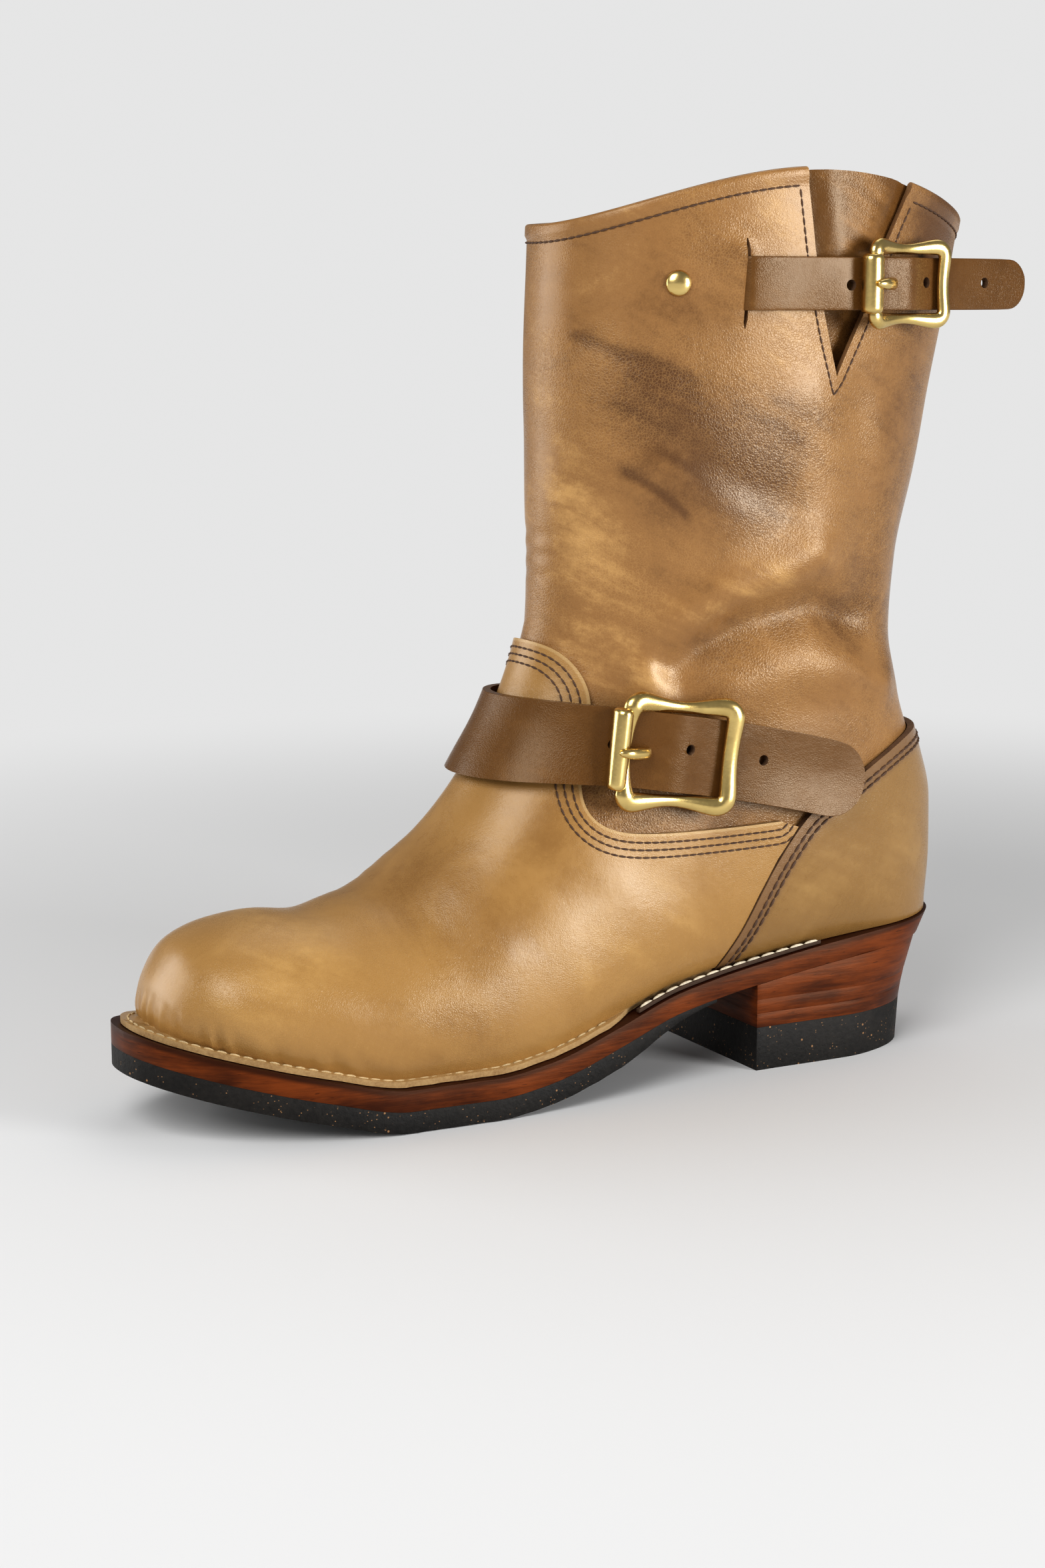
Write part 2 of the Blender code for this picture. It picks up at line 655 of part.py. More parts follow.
def spread_and_smooth(values, window):
    """Highest neighbour over a window, then averaged, so that nothing is lower than before."""
    padded = np.pad(values, ((2 * window, 2 * window), (0, 0)), mode="edge")
    count = len(values) + 2 * window
    highest = np.max([padded[k:k + count] for k in range(2 * window + 1)], axis=0)
    return np.mean([highest[k:k + len(values)] for k in range(2 * window + 1)], axis=0)


class Band:
    """A path on the boot for a strap: arc length s, breadth w and height h over the surface."""

    LANES = np.linspace(-20.0, 20.0, 9)
    RAY_START = 200.0
    RAY_ABOVE = 60.0
    RAY_REACH = 90.0
    NO_GROUND = -30.0
    TAIL_STEP = 4.0
    HEIGHT_ROUNDS = 4

    def __init__(self, tree, pole, span, height_at, count, tail=0.0, window=2, flat=None):
        angles = np.radians(np.linspace(span[0], span[1], count))
        self.centre = np.array([self.on_surface(tree, pole, a, height_at) for a in angles])
        self.extend_frame(tail)
        self.heights = self.surface_heights(tree, count)
        if flat:
            self.flatten(*flat)
        self.heights = spread_and_smooth(self.heights, window)
        self.heights = spread_and_smooth(self.heights.T, 1).T

    @staticmethod
    def on_surface(tree, pole, angle, height_at):
        ray = Vector((math.cos(angle), math.sin(angle), 0.0))
        z = float(height_at(pole[0]))
        for _ in range(Band.HEIGHT_ROUNDS):
            start = Vector((pole[0], pole[1], z)) + ray * Band.RAY_START
            hit = tree.ray_cast(start, -ray)[0]
            z = float(height_at(hit.x))
        return np.array((hit.x, hit.y, z))

    def extend_frame(self, tail):
        """Add the straight tail, then work out arc length, tangents and outward normals."""
        smooth = self.centre.copy()
        smooth[1:-1] = (self.centre[:-2] + 2 * self.centre[1:-1] + self.centre[2:]) / 4
        last = smooth[-1] - smooth[-3]
        last /= np.linalg.norm(last)
        steps = np.arange(1, int(tail / self.TAIL_STEP) + 1)[:, None] * self.TAIL_STEP
        self.centre = np.concatenate([smooth, smooth[-1] + steps * last])
        lengths = np.linalg.norm(np.diff(self.centre, axis=0), axis=1)
        self.arc = np.concatenate([[0], np.cumsum(lengths)])
        self.along = np.gradient(self.centre, axis=0)
        self.along /= np.linalg.norm(self.along, axis=1)[:, None]
        self.out = np.cross(self.along, (0.0, 0.0, 1.0))
        self.out /= np.linalg.norm(self.out, axis=1)[:, None]
        self.up = np.cross(self.out, self.along)

    def surface_heights(self, tree, count):
        heights = np.zeros((len(self.centre), len(self.LANES)))
        for i in range(len(self.centre)):
            for j, w in enumerate(self.LANES):
                start = self.centre[i] + self.up[i] * w + self.out[i] * self.RAY_ABOVE
                hit = tree.ray_cast(Vector(start), Vector(-self.out[i]), self.RAY_REACH)[0]
                height = (np.array(hit) - self.centre[i]) @ self.out[i] if hit else self.NO_GROUND
                heights[i, j] = height if i < count else min(height, 0.0)
        return heights

    def flatten(self, low, high, ease):
        """Level the heights across the band between two arc lengths."""
        level = self.heights.max(axis=1, keepdims=True)
        share = smooth_step(self.arc, low - ease, low) * (1 - smooth_step(self.arc, high, high + ease))
        self.heights += (level - self.heights) * share[:, None]

    def arc_at_x(self, x):
        """Arc length on the outer side where the path passes a station."""
        outer = self.centre[:, 1] > 0
        order = np.argsort(self.centre[outer, 0])
        return float(np.interp(x, self.centre[outer, 0][order], self.arc[outer][order]))

    def place(self, s, w, h, rest=1.0):
        """Point at arc length s, breadth w and height h; rest is how far it follows the surface."""
        s, w, h = np.broadcast_arrays(np.asarray(s, float), w, h)
        frame = {n: np.stack([np.interp(s, self.arc, getattr(self, n)[:, k]) for k in range(3)], -1)
                 for n in ("centre", "up", "out")}
        lane = (w - self.LANES[0]) / (self.LANES[1] - self.LANES[0])
        lane = np.clip(lane, 0, len(self.LANES) - 1.001)
        low = lane.astype(int)
        part = lane - low
        columns = [np.interp(s, self.arc, self.heights[:, j]) for j in range(len(self.LANES))]
        columns = np.stack(columns, -1)
        before = np.take_along_axis(columns, low[..., None], -1)[..., 0]
        after = np.take_along_axis(columns, low[..., None] + 1, -1)[..., 0]
        ground = before * (1 - part) + after * part
        lift = ground * rest + h
        return frame["centre"] + frame["up"] * w[..., None] + frame["out"] * lift[..., None]


def strap_solid(name, band, s, half, low, thick, material, rest=1.0, lanes=5):
    """Strap along a band: half is its half-width and low its lower face's height at each s."""
    across = np.linspace(-1, 1, lanes)
    w = half[:, None] * across
    grids = [band.place(s[:, None], w, (low + rise)[:, None], rest) for rise in (thick, 0.0)]
    points, faces = shell(grids[0], grids[1], close_start=True)
    return add_part(name, points, faces, material)


def rounded_width(s, end, half):
    """Half-width that closes to a round tip at an end."""
    along = np.clip((s - (end - half)) / half, 0, 0.985)
    return half * np.sqrt(1 - along ** 2)


def tube(path, radii, closed, sides=8):
    """Points and faces of a tube along a path in band coordinates (s, w, h)."""
    count = len(path)
    tangent = np.roll(path, -1, 0) - np.roll(path, 1, 0) if closed else np.gradient(path, axis=0)
    tangent /= np.linalg.norm(tangent, axis=1)[:, None]
    side = np.cross(tangent, (0.0, 0.0, 1.0))
    side /= np.linalg.norm(side, axis=1)[:, None]
    rise = np.cross(side, tangent)
    angles = 2 * np.pi * (np.arange(sides) + 0.5) / sides
    ring = side[:, None] * np.cos(angles)[None, :, None] + rise[:, None] * np.sin(angles)[None, :, None]
    points = (path[:, None] + ring * np.asarray(radii)[:, None, None]).reshape(-1, 3)
    faces = []
    for i in range(count if closed else count - 1):
        first = [i * sides + k % sides for k in range(sides + 1)]
        second = [((i + 1) % count) * sides + k % sides for k in range(sides + 1)]
        faces += strip_triangles(first, second)
    if not closed:
        faces += [tuple(range(sides)), tuple(range(count * sides - 1, (count - 1) * sides - 1, -1))]
    return points, faces


def corner_arc(middle, radius, degrees):
    """Points round one corner of a buckle's frame."""
    points = []
    for turn in np.radians(degrees):
        points.append((middle[0] + radius * math.cos(turn), middle[1] + radius * math.sin(turn), False))
    return points


def frame_path(buckle):
    """Closed path of a buckle's frame in its own plane, with a thin bar for the roller."""
    half_l, half_h, corner = buckle.length / 2, buckle.height / 2, buckle.corner
    thin = buckle.roller_half + GAP
    quarter = [(-half_l, thin, True), (-half_l, thin + BAR_SHOULDER, False)]
    quarter += corner_arc((corner - half_l, half_h - corner), corner, (165, 135, 105))
    straight = half_l - corner - RAIL_EASE
    for s in np.linspace(-straight, straight, 6):
        quarter.append((s, half_h - buckle.pinch * (1 - (s / half_l) ** 2), False))
    quarter += corner_arc((half_l - corner, half_h - corner), corner, (75, 45, 15))
    quarter.append((half_l, 0.4 * half_h, False))
    return quarter + [(s, -w, is_thin) for s, w, is_thin in reversed(quarter)]


def on_band(band, points, middle, rest):
    return band.place(points[:, 0] + middle, points[:, 1], points[:, 2], rest)


def build_buckle(name, band, middle, buckle, material, rest=1.0):
    """Frame with its middle bar, the roller on its front bar and the prong."""
    outline = frame_path(buckle)
    bar = buckle.rail - ROLLER_WALL + BAR_PLAY
    curve = (FRAME_END_HEIGHT - FRAME_MID_HEIGHT) * (2 / buckle.length) ** 2
    path = np.array([(s, w, FRAME_MID_HEIGHT + curve * s * s) for s, w, _ in outline])
    radii = [bar if is_thin else buckle.rail for _, _, is_thin in outline]
    points, faces = tube(path, radii, True)
    frame = add_part(name, on_band(band, points, middle, rest), faces, material)
    reach = buckle.height / 2 - buckle.pinch
    bar_path = np.array([(0, -reach, BAR_HEIGHT), (0, reach, BAR_HEIGHT)])
    points, faces = tube(bar_path, [BAR_RADIUS] * 2, False)
    middle_bar = add_cutter(name + "_bar", on_band(band, points, middle, rest), faces)
    boolean(frame, middle_bar, "UNION")
    build_roller(name + "_roller", band, middle, buckle, bar, material, rest)
    build_prong(name + "_prong", band, middle, buckle, material, rest)


def build_roller(name, band, middle, buckle, bar, material, rest):
    half_l = buckle.length / 2
    path = np.array([(-half_l, w, FRAME_END_HEIGHT) for w in (-buckle.roller_half, buckle.roller_half)])
    sides = ROLLER_SIDES
    outer, faces = tube(path, [bar + GAP + ROLLER_WALL] * 2, False, sides)
    inner, _ = tube(path, [bar + 1.6 * GAP] * 2, False, sides)
    count = len(outer)
    faces = [face for face in faces if len(face) == 3]
    faces += [tuple(v + count for v in reversed(face)) for face in faces]
    for start in (0, sides):
        rim = [start + k % sides for k in range(sides + 1)]
        faces += strip_triangles(rim, [v + count for v in rim])
    points = np.concatenate([outer, inner])
    add_part(name, on_band(band, points, middle, rest), faces, material)


def prong_path(buckle):
    """Prong from beside the middle bar, up through the strap, to the top of the roller."""
    tip_height = FRAME_END_HEIGHT + buckle.rail + GAP + PRONG_RADIUS + 0.5
    tip = -buckle.length / 2
    foot = -BAR_RADIUS - PRONG_RADIUS - GAP
    mid = 0.55 * tip
    return np.array([(foot, 0, BAR_HEIGHT), (0.3 * tip, 0, BAR_HEIGHT + 2.0), (mid, 0, tip_height - 0.8),
                     (0.8 * tip, 0, tip_height), (tip - 1.0, 0, tip_height)])


def build_prong(name, band, middle, buckle, material, rest):
    path = prong_path(buckle)
    radii = PRONG_RADIUS * np.array((1.0, 1.0, 1.05, 1.0, 0.7))
    points, faces = tube(path, radii, False)
    add_part(name, on_band(band, points, middle, rest), faces, material)


def strap_wave(s, buckle):
    """Rise of the strap over the middle bar, by distance from the buckle's middle."""
    return (STRAP_OVER_BAR - STRAP_LOW) * np.exp(-(s / (0.16 * buckle.length)) ** 2)


def prong_hole(name, band, middle, buckle, rest):
    """Cutter for the hole in the strap that the prong comes up through."""
    low, high = 0.72 * -buckle.length / 2, -BAR_RADIUS
    half = PRONG_RADIUS + 2 * GAP
    depths = (STRAP_LOW - 2, STRAP_OVER_BAR + 6)
    corners = [(s, w, h) for s in (low, high) for w in (-half, half) for h in depths]
    return box_cutter(name, on_band(band, np.array(corners), middle, rest))


def tip_stations(end, half):
    """Stations that close up towards a strap's round tip."""
    return end - half * (1 - np.sin(np.linspace(0, TIP_TURN, 6)))


def rise_to_buckle(rel, reach, distances):
    """0 to 1 along the run of strap that rises to the buckle."""
    return smooth_step(rel, -reach - distances[0], -reach - distances[1])


def build_ankle_strap(tree, materials):
    line = smooth_curve(ANKLE_LINE)
    middle = Band(tree, ANKLE_POLE, ANKLE_SPAN, line, 61).arc_at_x(ANKLE_BUCKLE_X)
    reach = ANKLE_BUCKLE.length / 2
    flat = (middle - reach, middle + reach, ANKLE_FLAT_EASE)
    band = Band(tree, ANKLE_POLE, ANKLE_SPAN, line, 61, flat=flat)
    end = band.arc[-1]
    tip = ANKLE_STRAP_WIDTH / 2
    s = np.unique(np.concatenate([np.linspace(0, end - tip, 46), tip_stations(end, tip)]))
    rel = s - middle
    low = STRAP_ON_BOOT + (STRAP_LOW - STRAP_ON_BOOT) * rise_to_buckle(rel, reach, ANKLE_RISE)
    low += strap_wave(rel, ANKLE_BUCKLE)
    half = rounded_width(s, end, tip)
    strap = strap_solid("ankle_strap", band, s, half, low, STRAP_THICK, materials["strap"])
    boolean(strap, prong_hole("ankle_prong_hole", band, middle, ANKLE_BUCKLE, 1.0), "DIFFERENCE")
    s = np.linspace(middle - KEEPER_BACK, middle + KEEPER_LENGTH, 12)
    half = np.full_like(s, tip - KEEPER_INSET)
    low = np.full_like(s, STRAP_ON_BOOT)
    strap_solid("ankle_keeper_strap", band, s, half, low, KEEPER_THICK, materials["strap"], lanes=4)
    build_buckle("ankle_buckle", band, middle, ANKLE_BUCKLE, materials["brass"])


def build_shaft_strap(tree, upper, materials):
    line = smooth_curve(((-90, SHAFT_STRAP_Z), (120, SHAFT_STRAP_Z)))
    band = Band(tree, SHAFT_POLE, SHAFT_SPAN, line, 31, tail=SHAFT_TAIL, window=1)
    slot = band.arc_at_x(SHAFT_SLOT_X)
    rivet = band.arc_at_x(SHAFT_RIVET_X)
    end = band.arc[-1]
    middle = end - SHAFT_TAIL + SHAFT_BUCKLE_OFFSET
    reach = SHAFT_BUCKLE.length / 2
    tip = SHAFT_STRAP_WIDTH / 2
    runs = [np.linspace(rivet - SHAFT_INNER_END, slot - SLOT_EASE, 6),
            np.linspace(slot - SLOT_EASE, slot + SLOT_EASE, 9),
            np.linspace(slot + SLOT_EASE, end - tip, 32),
            tip_stations(end, tip)]
    s = np.unique(np.concatenate(runs))
    rel = s - middle
    through = smooth_step(s, slot - SLOT_HALF, slot + SLOT_HALF)
    low = SHAFT_INSIDE + (STRAP_ON_BOOT - SHAFT_INSIDE) * through
    low += (STRAP_LOW - STRAP_ON_BOOT) * rise_to_buckle(rel, reach, SHAFT_RISE)
    low += strap_wave(rel, SHAFT_BUCKLE)
    half = rounded_width(s, end, tip)
    rest = 1 - rise_to_buckle(rel, reach, SHAFT_LEAVES)[:, None]
    strap = strap_solid("shaft_strap", band, s, half, low, STRAP_THICK, materials["strap"], rest, lanes=4)
    boolean(strap, prong_hole("shaft_prong_hole", band, middle, SHAFT_BUCKLE, 0.0), "DIFFERENCE")
    s = np.linspace(middle + BAR_RADIUS + 2 * GAP, middle + TAB_LENGTH, 8)
    half = np.full_like(s, tip - TAB_INSET)
    low = np.full_like(s, STRAP_ON_BOOT)
    strap_solid("shaft_buckle_tab", band, s, half, low, KEEPER_THICK, materials["strap"], lanes=4)
    cut_slot(upper, band, slot)
    build_rivet(band, rivet, materials["brass"])
    build_buckle("shaft_buckle", band, middle, SHAFT_BUCKLE, materials["brass"], 0.0)


def cut_slot(upper, band, slot):
    """Slot in the shaft that the strap comes out of."""
    half = SLOT_HEIGHT / 2
    ends = (slot - SLOT_HALF, slot + SLOT_HALF)
    corners = [(s, w, h) for s in ends for w in (-half, half) for h in SLOT_DEPTHS]
    points = band.place(*np.array(corners).T)
    boolean(upper, box_cutter("slot_cutter", points), "DIFFERENCE")


def build_rivet(band, arc, material):
    """Low dome riveted through the shaft."""
    sides = RIVET_SIDES
    points, faces = [], []
    profile = [(RIVET_RADIUS, GAP),
               (RIVET_RADIUS, GAP + RIVET_RIM),
               (0.72 * RIVET_RADIUS, GAP + 0.82 * RIVET_RISE),
               (0.3 * RIVET_RADIUS, GAP + RIVET_RISE)]
    for radius, h in profile:
        for k in range(sides):
            turn = 2 * math.pi * k / sides
            points.append((arc + radius * math.cos(turn), radius * math.sin(turn), h))
    for ring in range(len(profile) - 1):
        first = [ring * sides + k % sides for k in range(sides + 1)]
        faces += strip_triangles(first, [v + sides for v in first])
    last = (len(profile) - 1) * sides
    faces += [tuple(range(sides)), tuple(range(last + sides - 1, last - 1, -1))]
    add_part("shaft_rivet", band.place(*np.array(points).T), faces, material)


def main():
    for old in list(bpy.data.objects):
        bpy.data.objects.remove(old, do_unlink=True)
    materials = {
        "shaft": leather("shaft_leather", (0.36, 0.21, 0.10), 0.45),
        "vamp": leather("vamp_leather", (0.50, 0.31, 0.14), 0.42),
        "counter": leather("counter_leather", (0.47, 0.29, 0.13), 0.42),
        "strap": leather("strap_leather", (0.25, 0.13, 0.07), 0.45),
        "insole": leather("insole_leather", (0.42, 0.27, 0.14), 0.7),
        "midsole": leather("midsole_leather", (0.16, 0.05, 0.02), 0.4),
        "heel": leather("heel_leather", (0.17, 0.055, 0.022), 0.38),
        "rand": leather("rand_leather", (0.09, 0.045, 0.02), 0.6),
        "rubber": make_material("sole_rubber", (0.02, 0.02, 0.021), 0.75, 0.0),
        "brass": make_material("buckle_brass", (0.72, 0.52, 0.18), 0.28, 1.0),
    }
    build_midsole(materials["midsole"])
    build_outsole(materials["rubber"])
    build_insole(materials["insole"])
    build_heel(materials["heel"], materials["rubber"])
    build_rand("shank_rand_lateral", 1, materials["rand"])
    build_rand("shank_rand_medial", -1, materials["rand"])
    upper = build_upper(materials["shaft"])
    skin_plain = add_cutter("plain_skin", *shell(skin(0.0), skin(-WALL), open_rows=HEEL_ROW + 1))
    vamp = build_vamp(materials["vamp"])
    counter = build_counter(materials["counter"])
    build_gusset(materials["shaft"])
    build_back_stay(materials["shaft"])
    bpy.context.view_layer.update()
    tree = surface_tree([skin_plain, vamp, counter])
    build_ankle_strap(tree, materials)
    build_shaft_strap(tree, upper, materials)


main()
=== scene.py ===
"""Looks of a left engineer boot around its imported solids.

The leather is lofted again at a fine pitch from the same section tables as the solids, with folds,
seams, stitches and worn edges; the sole, heel, straps and buckles get their finished shapes.
Tables are in millimetres, and every finished mesh is in metres in the frame of the solids.
"""
import math
from collections import namedtuple

import bmesh
import bpy
import numpy as np
from bpy.props import FloatProperty, FloatVectorProperty, PointerProperty
from mathutils import Matrix, Vector
from mathutils.bvhtree import BVHTree


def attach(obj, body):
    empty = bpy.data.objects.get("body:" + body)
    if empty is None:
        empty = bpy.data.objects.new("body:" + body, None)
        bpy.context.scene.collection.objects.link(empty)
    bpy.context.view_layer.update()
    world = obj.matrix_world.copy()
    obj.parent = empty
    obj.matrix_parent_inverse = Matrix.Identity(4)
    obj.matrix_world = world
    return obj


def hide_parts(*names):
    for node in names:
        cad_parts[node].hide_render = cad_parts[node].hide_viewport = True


bl_info = {
    "name": "Engineer boot",
    "version": (1, 0, 0),
    "blender": (4, 5, 0),
    "location": "3D View > Sidebar > Boot",
    "description": "Leather, sole, straps, buckles and stitches of an engineer boot",
    "category": "Object",
}

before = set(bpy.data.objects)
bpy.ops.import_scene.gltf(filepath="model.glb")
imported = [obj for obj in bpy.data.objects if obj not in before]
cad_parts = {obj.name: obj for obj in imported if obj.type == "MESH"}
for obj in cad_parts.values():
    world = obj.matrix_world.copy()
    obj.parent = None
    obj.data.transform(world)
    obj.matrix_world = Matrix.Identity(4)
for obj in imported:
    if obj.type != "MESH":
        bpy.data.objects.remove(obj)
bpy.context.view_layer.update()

# Millimetre and merging distance in metres, and the gap between neighbours in millimetres
MM = 0.001
MERGE = 1e-6
GAP = 0.3

# Sole: plan outline, layers and heel
SOLE_BACK = -53.0
SOLE_TIP = 267.0
HEEL_ROUND = 40.0
TOE_ROUND = 82.0
END_FULLNESS = 2.2
MIDSOLE_THICK = 7.4
OUTSOLE_THICK = 7.4
OUTSOLE_BACK = 57.0
OUTSOLE_FULL = 104.0
OUTSOLE_FEATHER = 1.2
INSOLE_THICK = 3.6
INSOLE_INSET = 3.1
HEEL_BREAST = 39.0
HEEL_UNDERCUT = 13.5
HEEL_CURVE = 2.2
TOP_LIFT_Z = 16.0
LIFT_LEVELS = (21.2, 26.4)
SEAT_CLEAR = 0.12
JOINT = 0.05
SOLE_RAGGED = 0.35
MIDSOLE_STATIONS = 130
OUTSOLE_STATIONS = 180
INSOLE_STATIONS = 90
LIFT_STATIONS = 60
SLAB_LANES = 12

# Upper: leather thickness and the ledge between the upper and the sole's edge
WALL = 2.2
VAMP_OUT = 2.4
OVERLAY_GAP = 0.45
COUNTER_OUT = 3.0
STAY_OUT = 1.6
GUSSET_OUT = 1.8
FLANGE_BACK = 92.0
FLANGE_FULL = 102.0
FLANGE_LEDGE = 3.2
FLANGE_THICK = 2.0
RAND_BACK = 11.0
RAND_LEDGE = 1.4
RAND_THICK = 1.4
RAND_CLEAR = 2.8
RAND_STATIONS = 70
FLANGE_RAGGED = 0.35
FLANGE_BAND = 3.0
NO_BAND = 50.0

# Loft of the upper: collar, fullness, rows and columns, and the solids' rows where pieces start
COLLAR_RISE_OUTER = 18.5
COLLAR_RISE_INNER = 3.0
FRONT_FULLNESS = 2.1
BACK_FULLNESS = 2.25
FOOT_ROWS = 120
SHAFT_ROWS = 110
HALF_COLUMNS = 64
HEEL_ROW = FOOT_ROWS - 1
EVEN_SHARE = 0.45
PACKED_SHARE = 0.55
CAD_FOOT_ROWS = 20
CAD_SHAFT_ROWS = 10
COUNTER_FIRST_ROW = 11
COUNTER_LAST_ROW = 25
GUSSET_ROW = 24
STAY_FIRST_ROW = 21

# Rolled rim of the collar
RIM_ROWS = 6
RIM_HEIGHT = 4.4
RIM_FADE = 1.6
RIM_SWELL = 0.8
RIM_ROUND = 0.8

# Stations of the sole, from the heel to the toe
SoleRow = namedtuple("SoleRow", "x centre half seat inset")
SOLE = (
    SoleRow(-53, 0.0, 33.0, 49.0, 4.4),
    SoleRow(-20, 0.3, 33.4, 46.8, 5.6),
    SoleRow(0, 0.0, 35.0, 45.0, 7.6),
    SoleRow(45, 1.0, 33.4, 38.5, 9.4),
    SoleRow(70, 2.6, 34.2, 34.6, 9.6),
    SoleRow(100, 2.4, 38.6, 26.0, 9.4),
    SoleRow(130, -1.2, 44.4, 17.4, 9.2),
    SoleRow(150, -4.0, 47.5, 15.1, 9.2),
    SoleRow(180, -6.0, 48.2, 15.1, 9.2),
    SoleRow(210, -6.2, 46.8, 21.2, 9.2),
    SoleRow(235, -6.2, 45.6, 27.6, 9.6),
    SoleRow(267, -7.0, 45.0, 36.4, 10.0),
)

# Sections of the foot: each runs from the feather line under the foot to the ridge on top
FootRow = namedtuple("FootRow", "ridge_x ridge_y ridge_z end_x half widest")
FOOT = (
    FootRow(253.0, -7.0, 35.0, 253.0, 0.0, 0.35),
    FootRow(254.0, -7.0, 40.5, 251.4, 11.6, 0.35),
    FootRow(252.8, -7.0, 47.5, 247.0, 19.8, 0.34),
    FootRow(249.4, -7.0, 54.5, 239.5, 27.0, 0.33),
    FootRow(243.4, -7.0, 61.5, 229.5, 33.4, 0.32),
    FootRow(230.5, -7.0, 66.4, 215.5, 38.2, 0.31),
    FootRow(215.0, -6.5, 68.0, 201.0, 41.2, 0.30),
    FootRow(199.0, -6.0, 66.4, 187.0, 43.0, 0.30),
    FootRow(184.5, -5.5, 69.8, 170.0, 44.0, 0.30),
    FootRow(170.0, -5.0, 76.6, 150.0, 43.6, 0.31),
    FootRow(156.6, -4.5, 86.2, 128.0, 41.2, 0.33),
    FootRow(145.0, -4.0, 97.6, 103.0, 38.4, 0.36),
    FootRow(135.2, -3.5, 110.4, 75.0, 37.0, 0.39),
    FootRow(126.6, -3.0, 124.4, 45.0, 37.0, 0.41),
    FootRow(120.0, -2.4, 138.8, 12.0, 37.4, 0.43),
    FootRow(116.0, -1.8, 151.0, -20.0, 38.0, 0.44),
    FootRow(114.0, -1.2, 160.0, -41.0, 38.3, 0.45),
    FootRow(113.2, -0.8, 165.0, -49.0, 38.5, 0.46),
)

# Sections of the shaft: each runs from the back line to the front
ShaftRow = namedtuple("ShaftRow", "ridge_x ridge_z end_x end_z half widest")
SHAFT = (
    ShaftRow(113.2, 165.0, -49.0, 49.0, 38.5, 0.46),
    ShaftRow(112.6, 176.0, -50.4, 68.0, 39.0, 0.46),
    ShaftRow(112.3, 188.0, -49.8, 88.0, 39.6, 0.47),
    ShaftRow(112.0, 200.0, -44.4, 108.0, 40.4, 0.48),
    ShaftRow(112.0, 212.0, -36.4, 130.0, 41.4, 0.49),
    ShaftRow(112.0, 224.0, -31.4, 154.0, 42.6, 0.50),
    ShaftRow(112.0, 237.0, -33.0, 180.0, 44.2, 0.50),
    ShaftRow(111.7, 252.0, -39.0, 208.0, 46.0, 0.50),
    ShaftRow(111.2, 268.0, -45.2, 240.0, 47.8, 0.50),
    ShaftRow(110.7, 284.0, -51.4, 271.0, 49.2, 0.50),
    ShaftRow(110.0, 299.5, -56.6, 300.5, 50.2, 0.50),
)
RISE_START = 0.55

# Side-view outlines of the overlays, as (x, z)
COUNTER_FRONT = ((58.0, 30.0), (53.0, 42.0), (47.0, 53.0), (41.0, 66.0), (34.0, 79.0), (26.0, 90.0))
COUNTER_TOP = ((19.0, 96.5), (6.0, 103.0), (-8.0, 111.0), (-24.0, 118.0), (-44.0, 121.0), (-80.0, 122.0))
VAMP_TOP = ((34.0, 92.6), (55.0, 92.0), (82.0, 92.0), (98.0, 93.5), (107.0, 98.5), (110.0, 107.0),
            (107.5, 120.0), (103.5, 132.0), (103.0, 142.0), (106.5, 151.0), (113.0, 157.5),
            (124.0, 160.5))
NOTCH = ((36.5, 330.0), (34.6, 318.0), (30.0, 292.0), (25.5, 271.0), (18.6, 249.0),
         (8.0, 270.0), (-2.0, 296.0), (-11.0, 313.0), (-16.0, 330.0))
NOTCH_TIP = 4
TIP_LENGTH = 15.0
NOTCH_MARGIN = 7.0
NOTCH_INNER = 8.0

# Pale middle of the counter
COUNTER_MIDDLE = 75.0
COUNTER_SPREAD = 22.0
COUNTER_TONE = 0.25

# Gusset: its bulge through the notch, its sink below it, and its tone in waves
GUSSET_BULGE = 2.6
GUSSET_SINK = 3.5
GUSSET_RISE = (262.0, 292.0)
GUSSET_SPREAD = (0.5, 9.0)
GUSSET_TONE = 0.35
GUSSET_WAVE = 0.3
GUSSET_PITCH = 6.0

# Cutters: reach to the sides, below the sole and past the toe, and the space at a fitted edge
PRISM_HALF = 150.0
BELOW_SOLE = -20.0
PAST_TOE = 330.0
FITTED_EDGE = 0.4

# Back stay, and how far its cutter reaches behind and ahead
STAY_HALF = 7.0
STAY_BOTTOM = 123.0
STAY_TOP = 297.0
STAY_BEHIND = -90.0
STAY_AHEAD = -5.0

# Slot of the shaft strap, and the lip that the strap lifts in front of it
SLOT_FRONT = 57.2
SLOT_BACK = 55.4
SLOT_Z = 280.5
SLOT_HALF = 15.0
SLOT_MIDDLE = (SLOT_FRONT + SLOT_BACK) / 2
SLOT_TIP = 0.2
SLOT_TAPER = 3.0
LIP_HEIGHT = 2.6
LIP_REACH = 8.0
LIP_FULL = 0.6

# Where the shaft's relief fades: across the middle, past the vamp's edge, over the counter, at the collar
SIDE_FADE = 14.0
VAMP_FADE = (-1.0, 9.0)
COUNTER_FADE = (118.0, 136.0)
COLLAR_FADE = (285.0, 300.0)

# Height of the leather's slow unevenness, and the share of it on the overlays
SLACK_HEIGHT = 0.35
OVERLAY_SLACK = 0.4

# Puckers round the toe: height, the middle of their fan, and where they fade along and up the toe
PUCKER_HEIGHT = 0.4
TOE_MIDDLE = (190.0, -7.0)
TOE_FADE = (170.0, 215.0)
PUCKER_START = (1.0, 4.0)
PUCKER_END = (6.0, 15.0)

